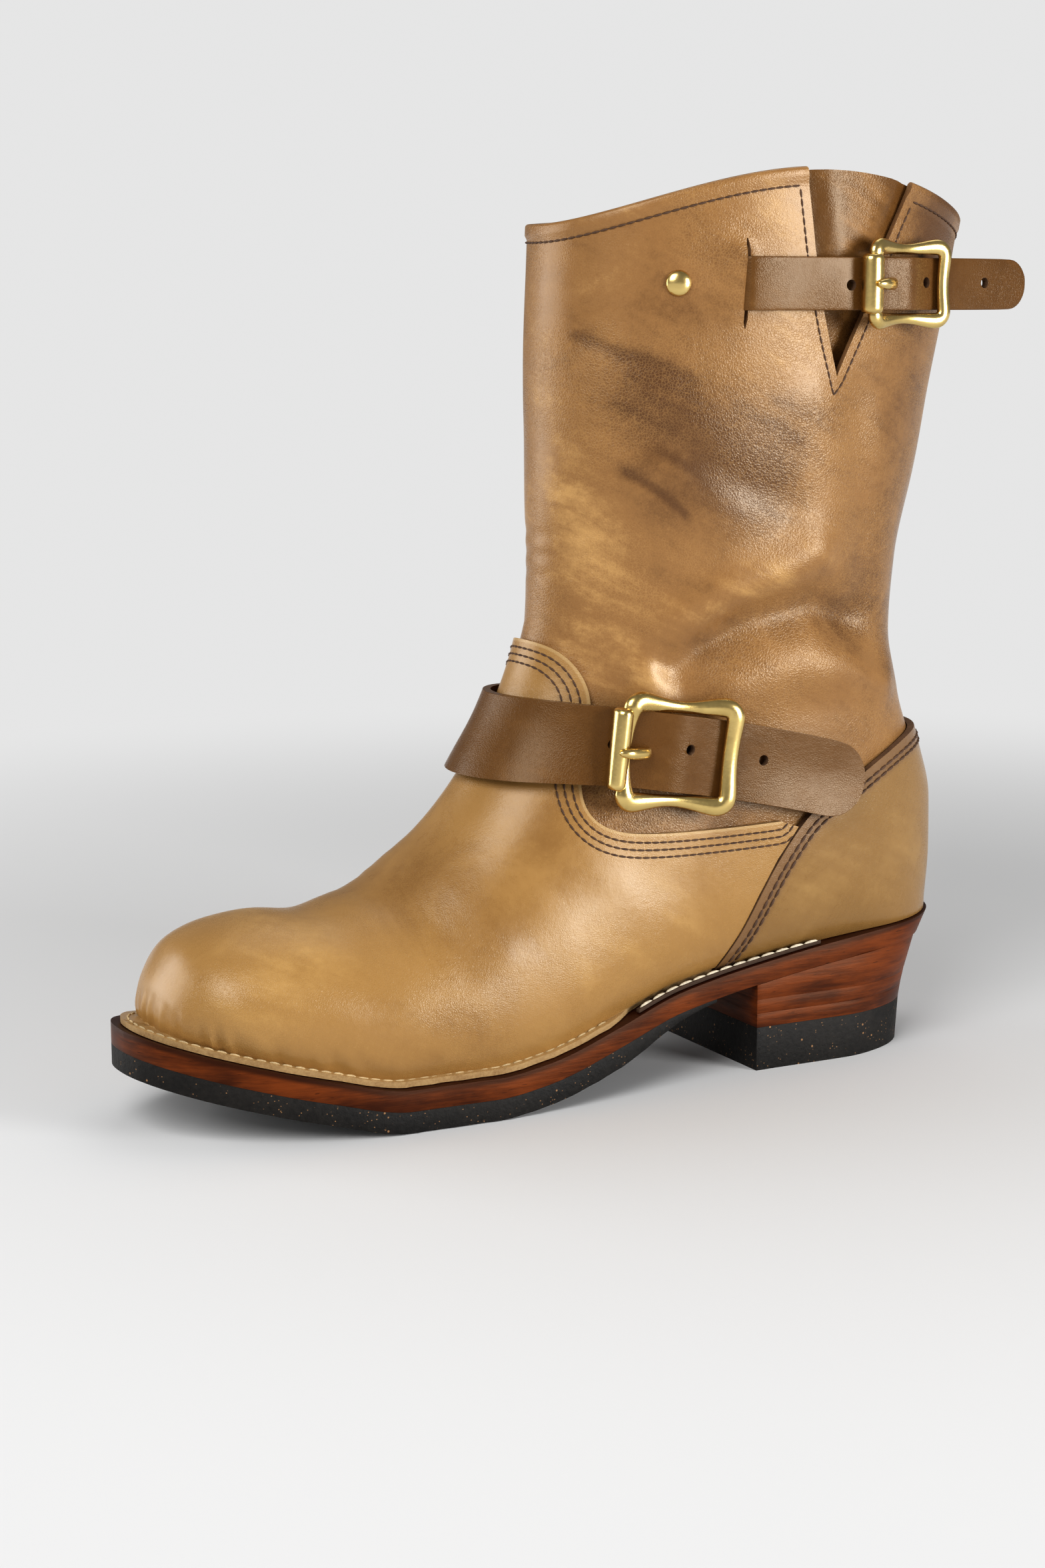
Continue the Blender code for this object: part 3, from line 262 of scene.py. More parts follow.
# Folds of the shaft: side (1 outer, -1 inner, 0 both), width, height and side-view path
Fold = namedtuple("Fold", "side width height path")
FOLDS = (
    Fold(1, 9.0, -6.0, ((74, 150), (62, 159), (45, 166), (22, 169), (4, 163))),
    Fold(1, 9.0, 3.8, ((80, 148), (71, 163), (56, 173), (41, 179), (24, 187))),
    Fold(1, 9.0, 2.4, ((52, 141), (28, 147), (4, 146), (-12, 138))),
    Fold(1, 8.0, -1.3, ((-8, 150), (-2, 185), (4, 220), (8, 240))),
    Fold(1, 12.0, 1.1, ((20, 200), (24, 222), (26, 240))),
    Fold(1, 7.0, -0.9, ((90, 232), (72, 222), (52, 212), (36, 206))),
    Fold(1, 2.2, -0.35, ((104, 262), (95, 257), (85, 253), (75, 248))),
    Fold(1, 2.0, -0.3, ((94, 218), (83, 211), (73, 202))),
    Fold(0, 2.6, -0.4, ((116, 187), (105, 189), (95, 190))),
    Fold(0, 2.4, -0.35, ((116, 194), (104, 196), (97, 197))),
    Fold(0, 2.4, -0.3, ((116, 180), (107, 182), (98, 184))),
    Fold(-1, 9.0, -2.6, ((70, 152), (56, 162), (40, 168), (18, 170), (0, 164))),
    Fold(-1, 9.0, 1.6, ((78, 152), (68, 166), (52, 175), (36, 181), (18, 188))),
    Fold(-1, 8.0, -1.0, ((88, 236), (70, 226), (48, 214))),
    Fold(-1, 10.0, 1.0, ((-4, 160), (2, 190), (8, 220))),
)

# Colour patches of the shaft leather: side, width, depth and side-view path
# Some are dark patches and pulled streaks; the others are painted light: painted shade in the fold
# troughs
# and creases, below the ankle strap, at the back and on the rear collar, and painted highlights on the
# fold ridges and along the front
SHAFT_PATCHES_AND_PAINTED_LIGHT = (
    Fold(1, 18.0, -0.48, ((102, 236), (78, 222), (46, 208))),
    Fold(1, 16.0, -0.55, ((86, 250), (70, 238), (44, 226))),
    Fold(1, 17.0, -0.95, ((-36, 322), (-28, 302), (-24, 282))),
    Fold(1, 9.0, -0.22, ((88, 206), (70, 212), (52, 216))),
    Fold(1, 2.4, -0.65, ((106, 263), (95, 257), (85, 253), (74, 248))),
    Fold(1, 1.6, -0.45, ((92, 250), (80, 246), (70, 241))),
    Fold(1, 1.5, -0.35, ((88, 243), (74, 237), (62, 232))),
    Fold(1, 1.3, -0.35, ((96, 240), (86, 235), (78, 231))),
    Fold(1, 2.2, -0.45, ((57, 239), (44, 233), (33, 228))),
    Fold(1, 1.6, -0.4, ((44, 242), (30, 236))),
    Fold(1, 3.0, -0.3, ((70, 220), (54, 220), (38, 215))),
    Fold(1, 1.5, -0.48, ((94, 218), (83, 211), (73, 202))),
    Fold(1, 1.3, -0.4, ((82, 224), (70, 217), (62, 211))),
    Fold(1, 1.2, -0.4, ((64, 228), (50, 224), (40, 221))),
    Fold(1, 1.4, -0.3, ((60, 213), (48, 206), (38, 200))),
    Fold(1, 14.0, -0.55, ((100, 100), (70, 106), (40, 104), (100, 118))),
    Fold(1, 12.0, -0.45, ((72, 274), (64, 284), (60, 266))),
    Fold(1, 11.0, -0.5, ((64, 158), (45, 166), (20, 168), (6, 162))),
    Fold(1, 9.0, 0.55, ((80, 148), (70, 164), (56, 173), (40, 178))),
    Fold(1, 11.0, 0.55, ((108, 214), (104, 225), (110, 240))),
    Fold(1, 14.0, 0.45, ((98, 165), (104, 180), (106, 196))),
    Fold(1, 16.0, 0.15, ((50, 250), (30, 262), (44, 296))),
    Fold(1, 22.0, -0.4, ((-24, 150), (-18, 200), (-26, 250))),
    Fold(-1, 16.0, -0.5, ((90, 232), (60, 220), (30, 210))),
    Fold(-1, 2.2, -0.6, ((100, 255), (84, 250), (70, 243))),
    Fold(-1, 12.0, -0.4, ((50, 165), (20, 168), (0, 160))),
    Fold(-1, 14.0, 0.4, ((70, 172), (40, 182), (100, 200))),
    Fold(-1, 14.0, -0.35, ((60, 285), (20, 270), (-20, 250))),
)

# Creases of the vamp
VAMP_FOLDS = (
    Fold(0, 2.2, -0.28, ((180, 74), (170, 60), (166, 46))),
    Fold(0, 2.0, -0.30, ((174, 78), (163, 64), (158, 48))),
    Fold(0, 2.2, -0.26, ((167, 82), (156, 68), (150, 52))),
    Fold(1, 1.6, -0.22, ((161, 86), (150, 76), (143, 62))),
    Fold(-1, 1.8, -0.25, ((160, 84), (149, 72), (144, 56))),
    Fold(0, 6.0, -0.7, ((178, 74), (166, 66), (158, 54))),
    Fold(0, 7.0, 0.5, ((160, 82), (150, 72), (144, 56))),
)
# Painted light on the vamp: painted shade in the flex creases and below the ankle strap, painted
# highlights on the toe and the outer side
VAMP_PAINTED_LIGHT = (
    Fold(0, 18.0, -0.5, ((176, 76), (160, 82), (150, 60))),
    Fold(1, 14.0, -0.4, ((118, 105), (128, 118), (124, 92))),
    Fold(0, 16.0, 0.4, ((215, 62), (235, 50))),
    Fold(1, 14.0, 0.35, ((110, 52), (80, 60))),
)

# Strength and tint of the leathers' sheen, tint of the stained edges, and turn of the pulled streaks
SHAFT_SHEEN = (0.42, (1.0, 0.86, 0.68, 1.0))
VAMP_SHEEN = (0.48, (1.0, 0.92, 0.80, 1.0))
STRAP_SHEEN = (0.30, (1.0, 0.84, 0.64, 1.0))
STAIN_TINT = (1.0, 0.55, 0.35, 1.0)
PULL_TURN = -0.45

# Grain of the vamp and straps beside the shaft's, as shares of its fineness and depth
VAMP_GRAIN = 1.5
VAMP_DEPTH = 0.5
STRAP_GRAIN = 1.2
STRAP_DEPTH = 0.6

# Coloured bands along cut edges: width and strength
VAMP_BAND = (1.3, 0.7)
COUNTER_BAND = (9.0, 0.75)
STAY_BAND = (1.6, 0.8)

# Threads: length, radius and pitch of their stitches
Thread = namedtuple("Thread", "length radius pitch")
UPPER_THREAD = Thread(3.1, 0.40, 3.1)
HEAVY_THREAD = Thread(3.9, 0.55, 3.9)
FLANGE_THREAD = Thread(3.6, 0.42, 4.4)
RAND_THREAD = Thread(5.9, 0.62, 6.1)

# One stitch: places along it with their girth, and how it lies in the leather, as shares of the radius
STITCH_PROFILE = ((-0.5, 0.0), (-0.34, 0.75), (0.0, 1.0), (0.34, 0.75), (0.5, 0.0))
STITCH_SIDES = 6
STITCH_LIFT = 0.55
STITCH_SINK = 0.25
STITCH_TIP = 0.3
SHORTEST_STITCH = 0.5
SHORTEST_RUN = 3

# Stitch rows by their distance inside an edge, and how their lines are found
VAMP_ROWS = (3.0, 5.6, 8.2)
COUNTER_ROWS = (3.6, 6.0)
COLLAR_ROW = 5.2
NOTCH_ROW = 3.4
STAY_ROW = 2.2
FLANGE_ROW = 2.4
ROW_LIFT = 0.1
ROW_INNER = 5.0
FACING = 0.3
STITCH_SAMPLES = 1200
RAND_SAMPLES = 80

# Inner end of the ankle strap in the side view, and the stitched box that holds it
STRAP_END = ((23.8, 123.4), (30.1, 97.2))
END_INSET = 3.0
END_LENGTH = 21.0
END_SAMPLES = 16

# Strap holes, as points on the straps' outer faces
HOLES = {
    "ankle_strap": ((101.0, 36.0, 125.0), (74.0, 43.0, 122.0), (44.0, 43.0, 116.0)),
    "shaft_strap": ((18.0, 53.0, 280.0), (-17.0, 49.0, 281.0), (-46.0, 38.0, 281.0)),
}
HOLE_RADIUS = 1.9
HOLE_DEPTH = 12.0
SLOTTED = {"ankle_strap": "ankle_buckle", "shaft_strap": "shaft_buckle"}
PRONG_SLOT_REACH = 3.0
PRONG_SLOT_STEEP = 0.5
STRAPS = ("ankle_strap", "ankle_keeper_strap", "shaft_strap", "shaft_buckle_tab")

# Buckle frames: outer size, and the radius at the roller's knobs, the waist, the far corners and far bar
Buckle = namedtuple("Buckle", "length height knob waist corner bar pinch")
BUCKLES = {
    "ankle_buckle": Buckle(45.5, 42.0, 3.8, 2.1, 3.5, 3.0, 1.2),
    "shaft_buckle": Buckle(39.5, 31.0, 3.1, 1.8, 2.8, 2.5, 0.9),
}
BUCKLE_FLATNESS = 0.72
BUCKLE_SIDES = 16
CORNER_EASE = 0.6
ROLLER_BAR = 1.2
ROLLER_SWELL = 1.5
RIVET_RADIUS = 4.4
RIVET_HEIGHT = 2.1
RIVET_SUNK = 0.3
STRAP_OF = {buckle: "boot_" + strap for strap, buckle in SLOTTED.items()}

# Prong: place past the roller, share of the way down to the strap, and radius
PRONG_LENGTH = 12.0
PRONG = (
    (2.2, 0.0, 0.6),
    (0.6, 0.0, 1.4),
    (-2.5, 0.04, 2.0),
    (-6.0, 0.35, 2.3),
    (1.0 - PRONG_LENGTH, 0.75, 2.3),
    (-PRONG_LENGTH, 1.0, 1.9),
    (-0.4 - PRONG_LENGTH, 1.35, 1.2),
)
PRONG_ABOVE = 0.9
PRONG_SEAT = 0.4
PRONG_FLATNESS = 0.9
PRONG_SIDES = 14
PRONG_SIGHT = 40.0

# Camera of the photograph, in metres, with its image height, focal length and horizon in pixels
IMAGE_HEIGHT = 2352
FOCAL_PIXELS = 4000.0
HORIZON_PIXELS = 726.0
SENSOR = 36.0
CAMERA_PLACE = (0.5587, 0.8137, 0.275)
CAMERA_YAW = math.radians(28.5)
CAMERA_DIP = math.atan(HORIZON_PIXELS / FOCAL_PIXELS)

# Studio: floor and soft boxes, each with its size, turn round the boot in degrees, distance and height
FLOOR_SIZE = 12.0
FLOOR_FADE = (0.28, 0.85)
WHITE = (1.0, 1.0, 1.0, 1.0)
LIGHT_AIM = (0.08, 0.0, 0.13)
SoftBox = namedtuple("SoftBox", "width depth turn distance height")
SOFT_BOXES = {
    "left": SoftBox(0.9, 0.7, -35.0, 1.30, 0.36),
    "right": SoftBox(0.5, 0.6, 118.0, 1.25, 0.31),
    "front": SoftBox(0.8, 0.8, 32.0, 1.15, 0.95),
    "top": SoftBox(1.0, 1.0, 230.0, 0.50, 1.30),
}


def smooth_curve(points):
    """Monotone cubic through (x, y) points, as a function of x."""
    xs, ys = np.array(sorted(points), float).T
    step = np.diff(xs)
    rise = np.diff(ys) / step
    slope = np.zeros_like(ys)
    slope[0], slope[-1] = rise[0], rise[-1]
    for i in range(1, len(xs) - 1):
        if rise[i - 1] * rise[i] > 0:
            before, after = 2 * step[i] + step[i - 1], step[i] + 2 * step[i - 1]
            slope[i] = (before + after) / (before / rise[i - 1] + after / rise[i])

    def at(x):
        x = np.clip(x, xs[0], xs[-1])
        i = np.clip(np.searchsorted(xs, x) - 1, 0, len(step) - 1)
        t = (x - xs[i]) / step[i]
        start = ys[i] * (1 + 2 * t) * (1 - t) ** 2 + step[i] * slope[i] * t * (1 - t) ** 2
        end = ys[i + 1] * t * t * (3 - 2 * t) + step[i] * slope[i + 1] * t * t * (t - 1)
        return start + end

    return at


def smooth_step(value, low, high):
    t = np.clip((value - low) / (high - low), 0.0, 1.0)
    return t * t * (3 - 2 * t)


def column(rows, name):
    return [getattr(row, name) for row in rows]


def sole_column(name):
    return smooth_curve(list(zip(column(SOLE, "x"), column(SOLE, name))))


sole_centre = sole_column("centre")
sole_half = sole_column("half")
seat = sole_column("seat")
feather_inset = sole_column("inset")
FEATHER_BACK = FOOT[-1].end_x
FEATHER_TIP = FOOT[0].end_x


def round_end(distance, length):
    """Superellipse factor that closes an outline over its last length."""
    t = np.clip(distance / length, 0.0, 1.0)
    return (1 - (1 - t) ** END_FULLNESS) ** (1 / END_FULLNESS)


def outline_half(x, inset=0.0, back=SOLE_BACK, tip=SOLE_TIP):
    """Half-breadth of the sole's plan outline, drawn in by an inset."""
    full = sole_half(x) - inset
    return full * round_end(x - back, HEEL_ROUND - inset) * round_end(tip - x, TOE_ROUND - inset)


def feather_half(x):
    return outline_half(x, feather_inset(x), FEATHER_BACK, FEATHER_TIP)


def half_breadth(s, half, feather, widest):
    """Half-breadth along a section, from its end at s = 0 to the ridge at s = 1."""
    above = np.clip((s - widest) / (1 - widest), 0, 1)
    below = np.clip((widest - s) / widest, 0, 1)
    ratio = np.where(half > 0, feather / np.maximum(half, 1e-6), 0.0)
    front = (1 - above ** FRONT_FULLNESS) ** (1 / FRONT_FULLNESS)
    rear = (1 - below ** BACK_FULLNESS * (1 - ratio ** BACK_FULLNESS)) ** (1 / BACK_FULLNESS)
    return half * np.where(s > widest, front, rear)


def section_parameters(count):
    """Row positions from 0 to 1, closer together at the two ends."""
    u = np.linspace(0, 1, count)
    return EVEN_SHARE * u + PACKED_SHARE * (1 - np.cos(np.pi * u)) / 2


def sample(rows, name, places):
    """Values of a table's column at places from 0 to 1 along its rows."""
    values = list(enumerate(column(rows, name)))
    return smooth_curve(values)(places * (len(rows) - 1))


def last_rows():
    """All section values of the upper, from the toe to the collar."""
    foot = {n: sample(FOOT, n, section_parameters(FOOT_ROWS)) for n in FootRow._fields}
    foot["end_z"] = seat(foot["end_x"]) + GAP
    foot["ridge_z"][0] = foot["end_z"][0]
    foot["feather"] = feather_half(foot["end_x"])
    foot["feather"][-1] = 0.0
    foot["half"] = np.maximum(foot["half"], foot["feather"])
    foot["end_y"] = sole_centre(foot["end_x"])
    foot["ridge_y"][0] = foot["end_y"][0]
    foot["rise"] = np.zeros(FOOT_ROWS)
    even = np.linspace(0, 1, SHAFT_ROWS)
    shaft = {n: sample(SHAFT, n, even) for n in ShaftRow._fields}
    shaft["feather"] = np.zeros(SHAFT_ROWS)
    shaft["end_y"] = np.zeros(SHAFT_ROWS)
    shaft["ridge_y"] = FOOT[-1].ridge_y * (1 - even)
    shaft["rise"] = smooth_step(even, RISE_START, 1.0)
    shaft["end_z"][0] = foot["end_z"][-1]
    return {n: np.concatenate([foot[n], shaft[n][1:]]) for n in foot}


def upper_grid():
    """Points of the upper's outer face: rows by columns, outer side to inner side."""
    rows = {name: values[:, None] for name, values in last_rows().items()}
    turn = np.pi * np.arange(HALF_COLUMNS + 1) / HALF_COLUMNS
    s = (1 - np.cos(turn)) / 2
    s = np.concatenate([s, s[-2::-1]])
    side = np.where(np.arange(len(s)) <= HALF_COLUMNS, 1.0, -1.0)
    x = rows["end_x"] + s * (rows["ridge_x"] - rows["end_x"])
    z = rows["end_z"] + s * (rows["ridge_z"] - rows["end_z"])
    middle = rows["end_y"] + s * (rows["ridge_y"] - rows["end_y"])
    breadth = half_breadth(s[None, :], rows["half"], rows["feather"], rows["widest"])
    rise = np.where(side > 0, COLLAR_RISE_OUTER, COLLAR_RISE_INNER) * np.sin(np.pi * s)
    return np.stack([x, middle + side * breadth, z + rows["rise"] * rise], -1)


def grid_quads(rows, columns):
    """Corner numbers of a grid's quads."""
    start = np.arange((rows - 1) * columns).reshape(rows - 1, columns)[:, :-1].ravel()
    return np.stack([start, start + columns, start + columns + 1, start + 1], -1)


def grid_normals(grid):
    """Unit normals of a grid's points, shared where points coincide."""
    rows, columns = grid.shape[:2]
    points = grid.reshape(-1, 3)
    quads = grid_quads(rows, columns)
    a, b, c, d = points[quads].transpose(1, 0, 2)
    facing = np.cross(c - a, d - b)
    total = np.zeros_like(points)
    for k in range(4):
        np.add.at(total, quads[:, k], facing)
    _, place = np.unique(np.round(points, 3), axis=0, return_inverse=True)
    place = place.ravel()
    shared = np.zeros((place.max() + 1, 3))
    np.add.at(shared, place, total)
    normals = shared[place]
    normals /= np.maximum(np.linalg.norm(normals, axis=1), 1e-9)[:, None]
    if ((points - points.mean(0)) * normals).sum() < 0:
        normals = -normals
    return normals.reshape(grid.shape)


GRID = upper_grid()
NORMALS = grid_normals(GRID)
# Offsets never point down, so that the skins stay apart where the side is undercut
NORMALS[..., 2] = np.maximum(NORMALS[..., 2], 0.0)
NORMALS[:HEEL_ROW, (0, -1), 2] = 0.0
NORMALS /= np.maximum(np.linalg.norm(NORMALS, axis=-1), 1e-9)[..., None]


def segment_distances(points, path):
    """Start and direction of each segment of a polyline, with the distance of (x, z) points from it."""
    path = np.asarray(path, float)
    for a, b in zip(path[:-1], path[1:]):
        along = b - a
        t = np.clip(((points - a) @ along) / (along @ along), 0, 1)
        yield a, along, np.linalg.norm(points - a - t[..., None] * along, axis=-1)


def line_distance(points, path):
    """Distance of (x, z) points from a polyline."""
    nearest = np.full(points.shape[:-1], np.inf)
    for _, _, distance in segment_distances(points, path):
        nearest = np.minimum(nearest, distance)
    return nearest


def signed_distance(points, path):
    """Side-view distance from a polyline: positive on the left of its direction."""
    nearest = np.full(points.shape[:-1], np.inf)
    side = np.zeros(points.shape[:-1])
    for a, along, distance in segment_distances(points, path):
        turn = along[0] * (points[..., 1] - a[1]) - along[1] * (points[..., 0] - a[0])
        closer = distance < nearest - 1e-9
        nearest = np.where(closer, distance, nearest)
        side = np.where(closer, np.sign(turn), side)
    return nearest * side


def rounded(path, rounds=3):
    """Polyline with its corners cut off again and again, its ends kept."""
    path = np.asarray(path, float)
    for _ in range(rounds):
        near, far = path[:-1] * 0.75 + path[1:] * 0.25, path[:-1] * 0.25 + path[1:] * 0.75
        middle = np.stack([near, far], 1).reshape(-1, 2)
        path = np.concatenate([path[:1], middle[1:-1], path[-1:]])
    return path


VAMP_EDGE = rounded(VAMP_TOP)
COUNTER_EDGE = rounded(COUNTER_FRONT + COUNTER_TOP)


def folds(points, table):
    """Sum of soft ridges and troughs along side-view paths."""
    total = np.zeros(points.shape[:-1])
    for fold in table:
        distance = line_distance(points[..., (0, 2)], fold.path)
        share = smooth_step(fold.side * points[..., 1], 0.0, SIDE_FADE) if fold.side else 1.0
        total += fold.height * np.exp(-(distance / fold.width) ** 2) * share
    return total


def slack(points):
    """Slow unevenness of hand-lasted leather."""
    x, y, z = (points[..., k] for k in range(3))
    return SLACK_HEIGHT * np.sin(x / 17 + 1.3 * np.sin(z / 23)) * np.sin(z / 15 + y / 21 + 0.7)


def slot_lip(points):
    """Leather in front of the strap's slot, lifted by the strap under it."""
    ahead = points[..., 0] - SLOT_MIDDLE
    along = np.where(ahead > 0, np.exp(-(ahead / LIP_REACH) ** 2), 0.0)
    across = 1 - smooth_step(np.abs(points[..., 2] - SLOT_Z), SLOT_HALF * LIP_FULL, SLOT_HALF)
    return LIP_HEIGHT * along * across * smooth_step(points[..., 1], 0.0, SIDE_FADE)


def shaft_relief(points):
    """Relief of the shaft, none under the vamp and counter."""
    free = smooth_step(signed_distance(points[..., (0, 2)], VAMP_EDGE), *VAMP_FADE)
    free *= smooth_step(points[..., 2], *COUNTER_FADE)
    top = 1 - smooth_step(points[..., 2], *COLLAR_FADE)
    return (folds(points, FOLDS) + slack(points) * top) * free + slot_lip(points)


def skin(offset, relief=None):
    """The upper's outer face moved out by an offset, kept above the sole."""
    out = offset if relief is None else offset + relief[..., None]
    points = GRID + NORMALS * out
    points[..., 2] = np.maximum(points[..., 2], seat(points[..., 0]) + GAP)
    return points


def edge_quads(edge, count):
    """Quads between an edge of the outer grid and the same edge of the inner grid."""
    return np.stack([edge[:-1], edge[1:], edge[1:] + count, edge[:-1] + count], -1)


def shell(outer, inner, open_rows=None, close_start=False):
    """Points, quads and the number of skin quads of a closed shell between two grids.

    Both sides are closed over the open rows, all of them by default, and the last row is closed.
    """
    rows, columns = outer.shape[:2]
    count = rows * columns
    quads = grid_quads(rows, columns)
    skins = np.concatenate([quads, quads[:, ::-1] + count])
    faces = [skins]
    for j in (0, columns - 1):
        faces.append(edge_quads(np.arange(open_rows or rows) * columns + j, count))
    for i in (0, rows - 1) if close_start else (rows - 1,):
        faces.append(edge_quads(np.arange(columns) + i * columns, count))
    points = np.concatenate([outer.reshape(-1, 3), inner.reshape(-1, 3)])
    return points, np.concatenate(faces), len(skins)


def deselect():
    if bpy.context.mode != "OBJECT":
        bpy.ops.object.mode_set(mode="OBJECT")
    bpy.ops.object.select_all(action="DESELECT")


def make_active(piece):
    deselect()
    piece.select_set(True)
    bpy.context.view_layer.objects.active = piece


def apply_modifiers(piece):
    make_active(piece)
    for name in [modifier.name for modifier in piece.modifiers]:
        bpy.ops.object.modifier_apply(modifier=name)


def close_mesh(mesh):
    """Merge doubles, drop loose points and turn the faces outwards."""
    bm = bmesh.new()
    bm.from_mesh(mesh)
    bmesh.ops.remove_doubles(bm, verts=bm.verts, dist=MERGE)
    loose = [v for v in bm.verts if not v.link_faces]
    bmesh.ops.delete(bm, geom=loose, context="VERTS")
    bmesh.ops.recalc_face_normals(bm, faces=bm.faces)
    bm.to_mesh(mesh)
    bm.free()


def smooth(piece, angle=40.0):
    piece.data.shade_smooth()
    piece.data.set_sharp_from_angle(angle=math.radians(angle))


def bevel_edges(piece, width, angle):
    modifier = piece.modifiers.new("edge", "BEVEL")
    modifier.width = width * MM
    modifier.segments = 2
    modifier.limit_method = "ANGLE"
    modifier.angle_limit = math.radians(angle)


def subdivide(piece, levels):
    modifier = piece.modifiers.new("finer", "SUBSURF")
    modifier.levels = modifier.render_levels = levels


def new_piece(name, points, faces, materials, second_from=None, merged=True):
    """Mesh object in metres from points in millimetres; later faces may take the second material."""
    mesh = bpy.data.meshes.new(name)
    corners = [[int(corner) for corner in face] for face in faces]
    mesh.from_pydata((np.asarray(points) * MM).tolist(), [], corners)
    for material in materials:
        mesh.materials.append(material)
    if second_from is not None:
        slots = np.zeros(len(faces), np.int32)
        slots[second_from:] = 1
        mesh.polygons.foreach_set("material_index", slots)
    if merged:
        close_mesh(mesh)
    piece = bpy.data.objects.new(name, mesh)
    bpy.context.scene.collection.objects.link(piece)
    return piece


def vertex_vectors(piece, name):
    flat = np.zeros(len(piece.data.vertices) * 3)
    piece.data.vertices.foreach_get(name, flat)
    return flat.reshape(-1, 3)


def mesh_points(piece):
    """Vertex places of a piece in millimetres."""
    return vertex_vectors(piece, "co") / MM


def set_attribute(piece, name, values):
    attribute = piece.data.attributes.new(name, "FLOAT", "POINT")
    attribute.data.foreach_set("value", np.asarray(values, np.float32))


def side_prism(name, outline, material, low_y=-PRISM_HALF, high_y=PRISM_HALF):
    """Prism of a side-view outline of (x, z) points."""
    count = len(outline)
    points = [(x, low_y, z) for x, z in outline] + [(x, high_y, z) for x, z in outline]
    faces = [(i, (i + 1) % count, (i + 1) % count + count, i + count) for i in range(count)]
    faces += [range(count), range(count, 2 * count)]
    return new_piece(name, points, faces, [material])


def tube_faces(rings, sides, start=0):
    """Quads and end caps of a tube made of rings of points."""
    faces = []
    for ring in range(rings - 1):
        for k in range(sides):
            a = start + ring * sides + k
            b = start + ring * sides + (k + 1) % sides
            faces.append((a, b, b + sides, a + sides))
    last = start + (rings - 1) * sides
    return faces + [range(start + sides - 1, start - 1, -1), range(last, last + sides)]


def stand_on(piece, place, normal):
    """Turn a piece's Z along a normal and move it to a place, in its mesh."""
    turn = normal.to_track_quat("Z", "Y").to_matrix().to_4x4()
    piece.data.transform(Matrix.Translation(place) @ turn)


def cut(piece, cutter, operation):
    """Apply a Boolean with a cutter and delete the cutter."""
    modifier = piece.modifiers.new("cut", "BOOLEAN")
    modifier.operation = operation
    modifier.object = cutter
    modifier.solver = "EXACT"
    modifier.material_mode = "TRANSFER"
    apply_modifiers(piece)
    bpy.data.objects.remove(cutter, do_unlink=True)
    if not piece.data.polygons:
        raise RuntimeError("nothing is left of " + piece.name)


def finish_piece(piece, slot, *nodes):
    """Ride on the boot and hide the solids that the piece stands for."""
    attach(piece, "root")
    if nodes:
        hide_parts(*nodes)


def node_copy(node, name):
    """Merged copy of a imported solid, to be shaped further."""
    piece = bpy.data.objects.new(name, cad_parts[node].data.copy())
    bpy.context.scene.collection.objects.link(piece)
    piece.data.materials.clear()
    close_mesh(piece.data)
    return piece


def piece_tree(names):
    """Nearest-point and ray tree of finished pieces, in metres."""
    points, faces = [], []
    for name in names:
        mesh = bpy.data.objects[name].data
        start = len(points)
        points += [v.co.copy() for v in mesh.vertices]
        faces += [[start + i for i in polygon.vertices] for polygon in mesh.polygons]
    return BVHTree.FromPolygons(points, faces)


class Socket:
    """An output socket that works in Python expressions, each of which adds a Math node."""

    def __init__(self, paint, link):
        self.paint = paint
        self.link = link

    def math(self, operation, first, second):
        return self.paint.node("ShaderNodeMath", {"operation": operation}, {0: first, 1: second})

    def __add__(self, other):
        return self.math("ADD", self, other)

    def __radd__(self, other):
        return self.math("ADD", other, self)

    def __sub__(self, other):
        return self.math("SUBTRACT", self, other)

    def __rsub__(self, other):
        return self.math("SUBTRACT", other, self)

    def __mul__(self, other):
        return self.math("MULTIPLY", self, other)

    def __rmul__(self, other):
        return self.math("MULTIPLY", other, self)

    def step(self, low, high):
        """0 to 1 as the value goes smoothly from low to high."""
        settings = {"interpolation_type": "SMOOTHSTEP"}
        return self.paint.node("ShaderNodeMapRange", settings, {0: self, 1: low, 2: high})


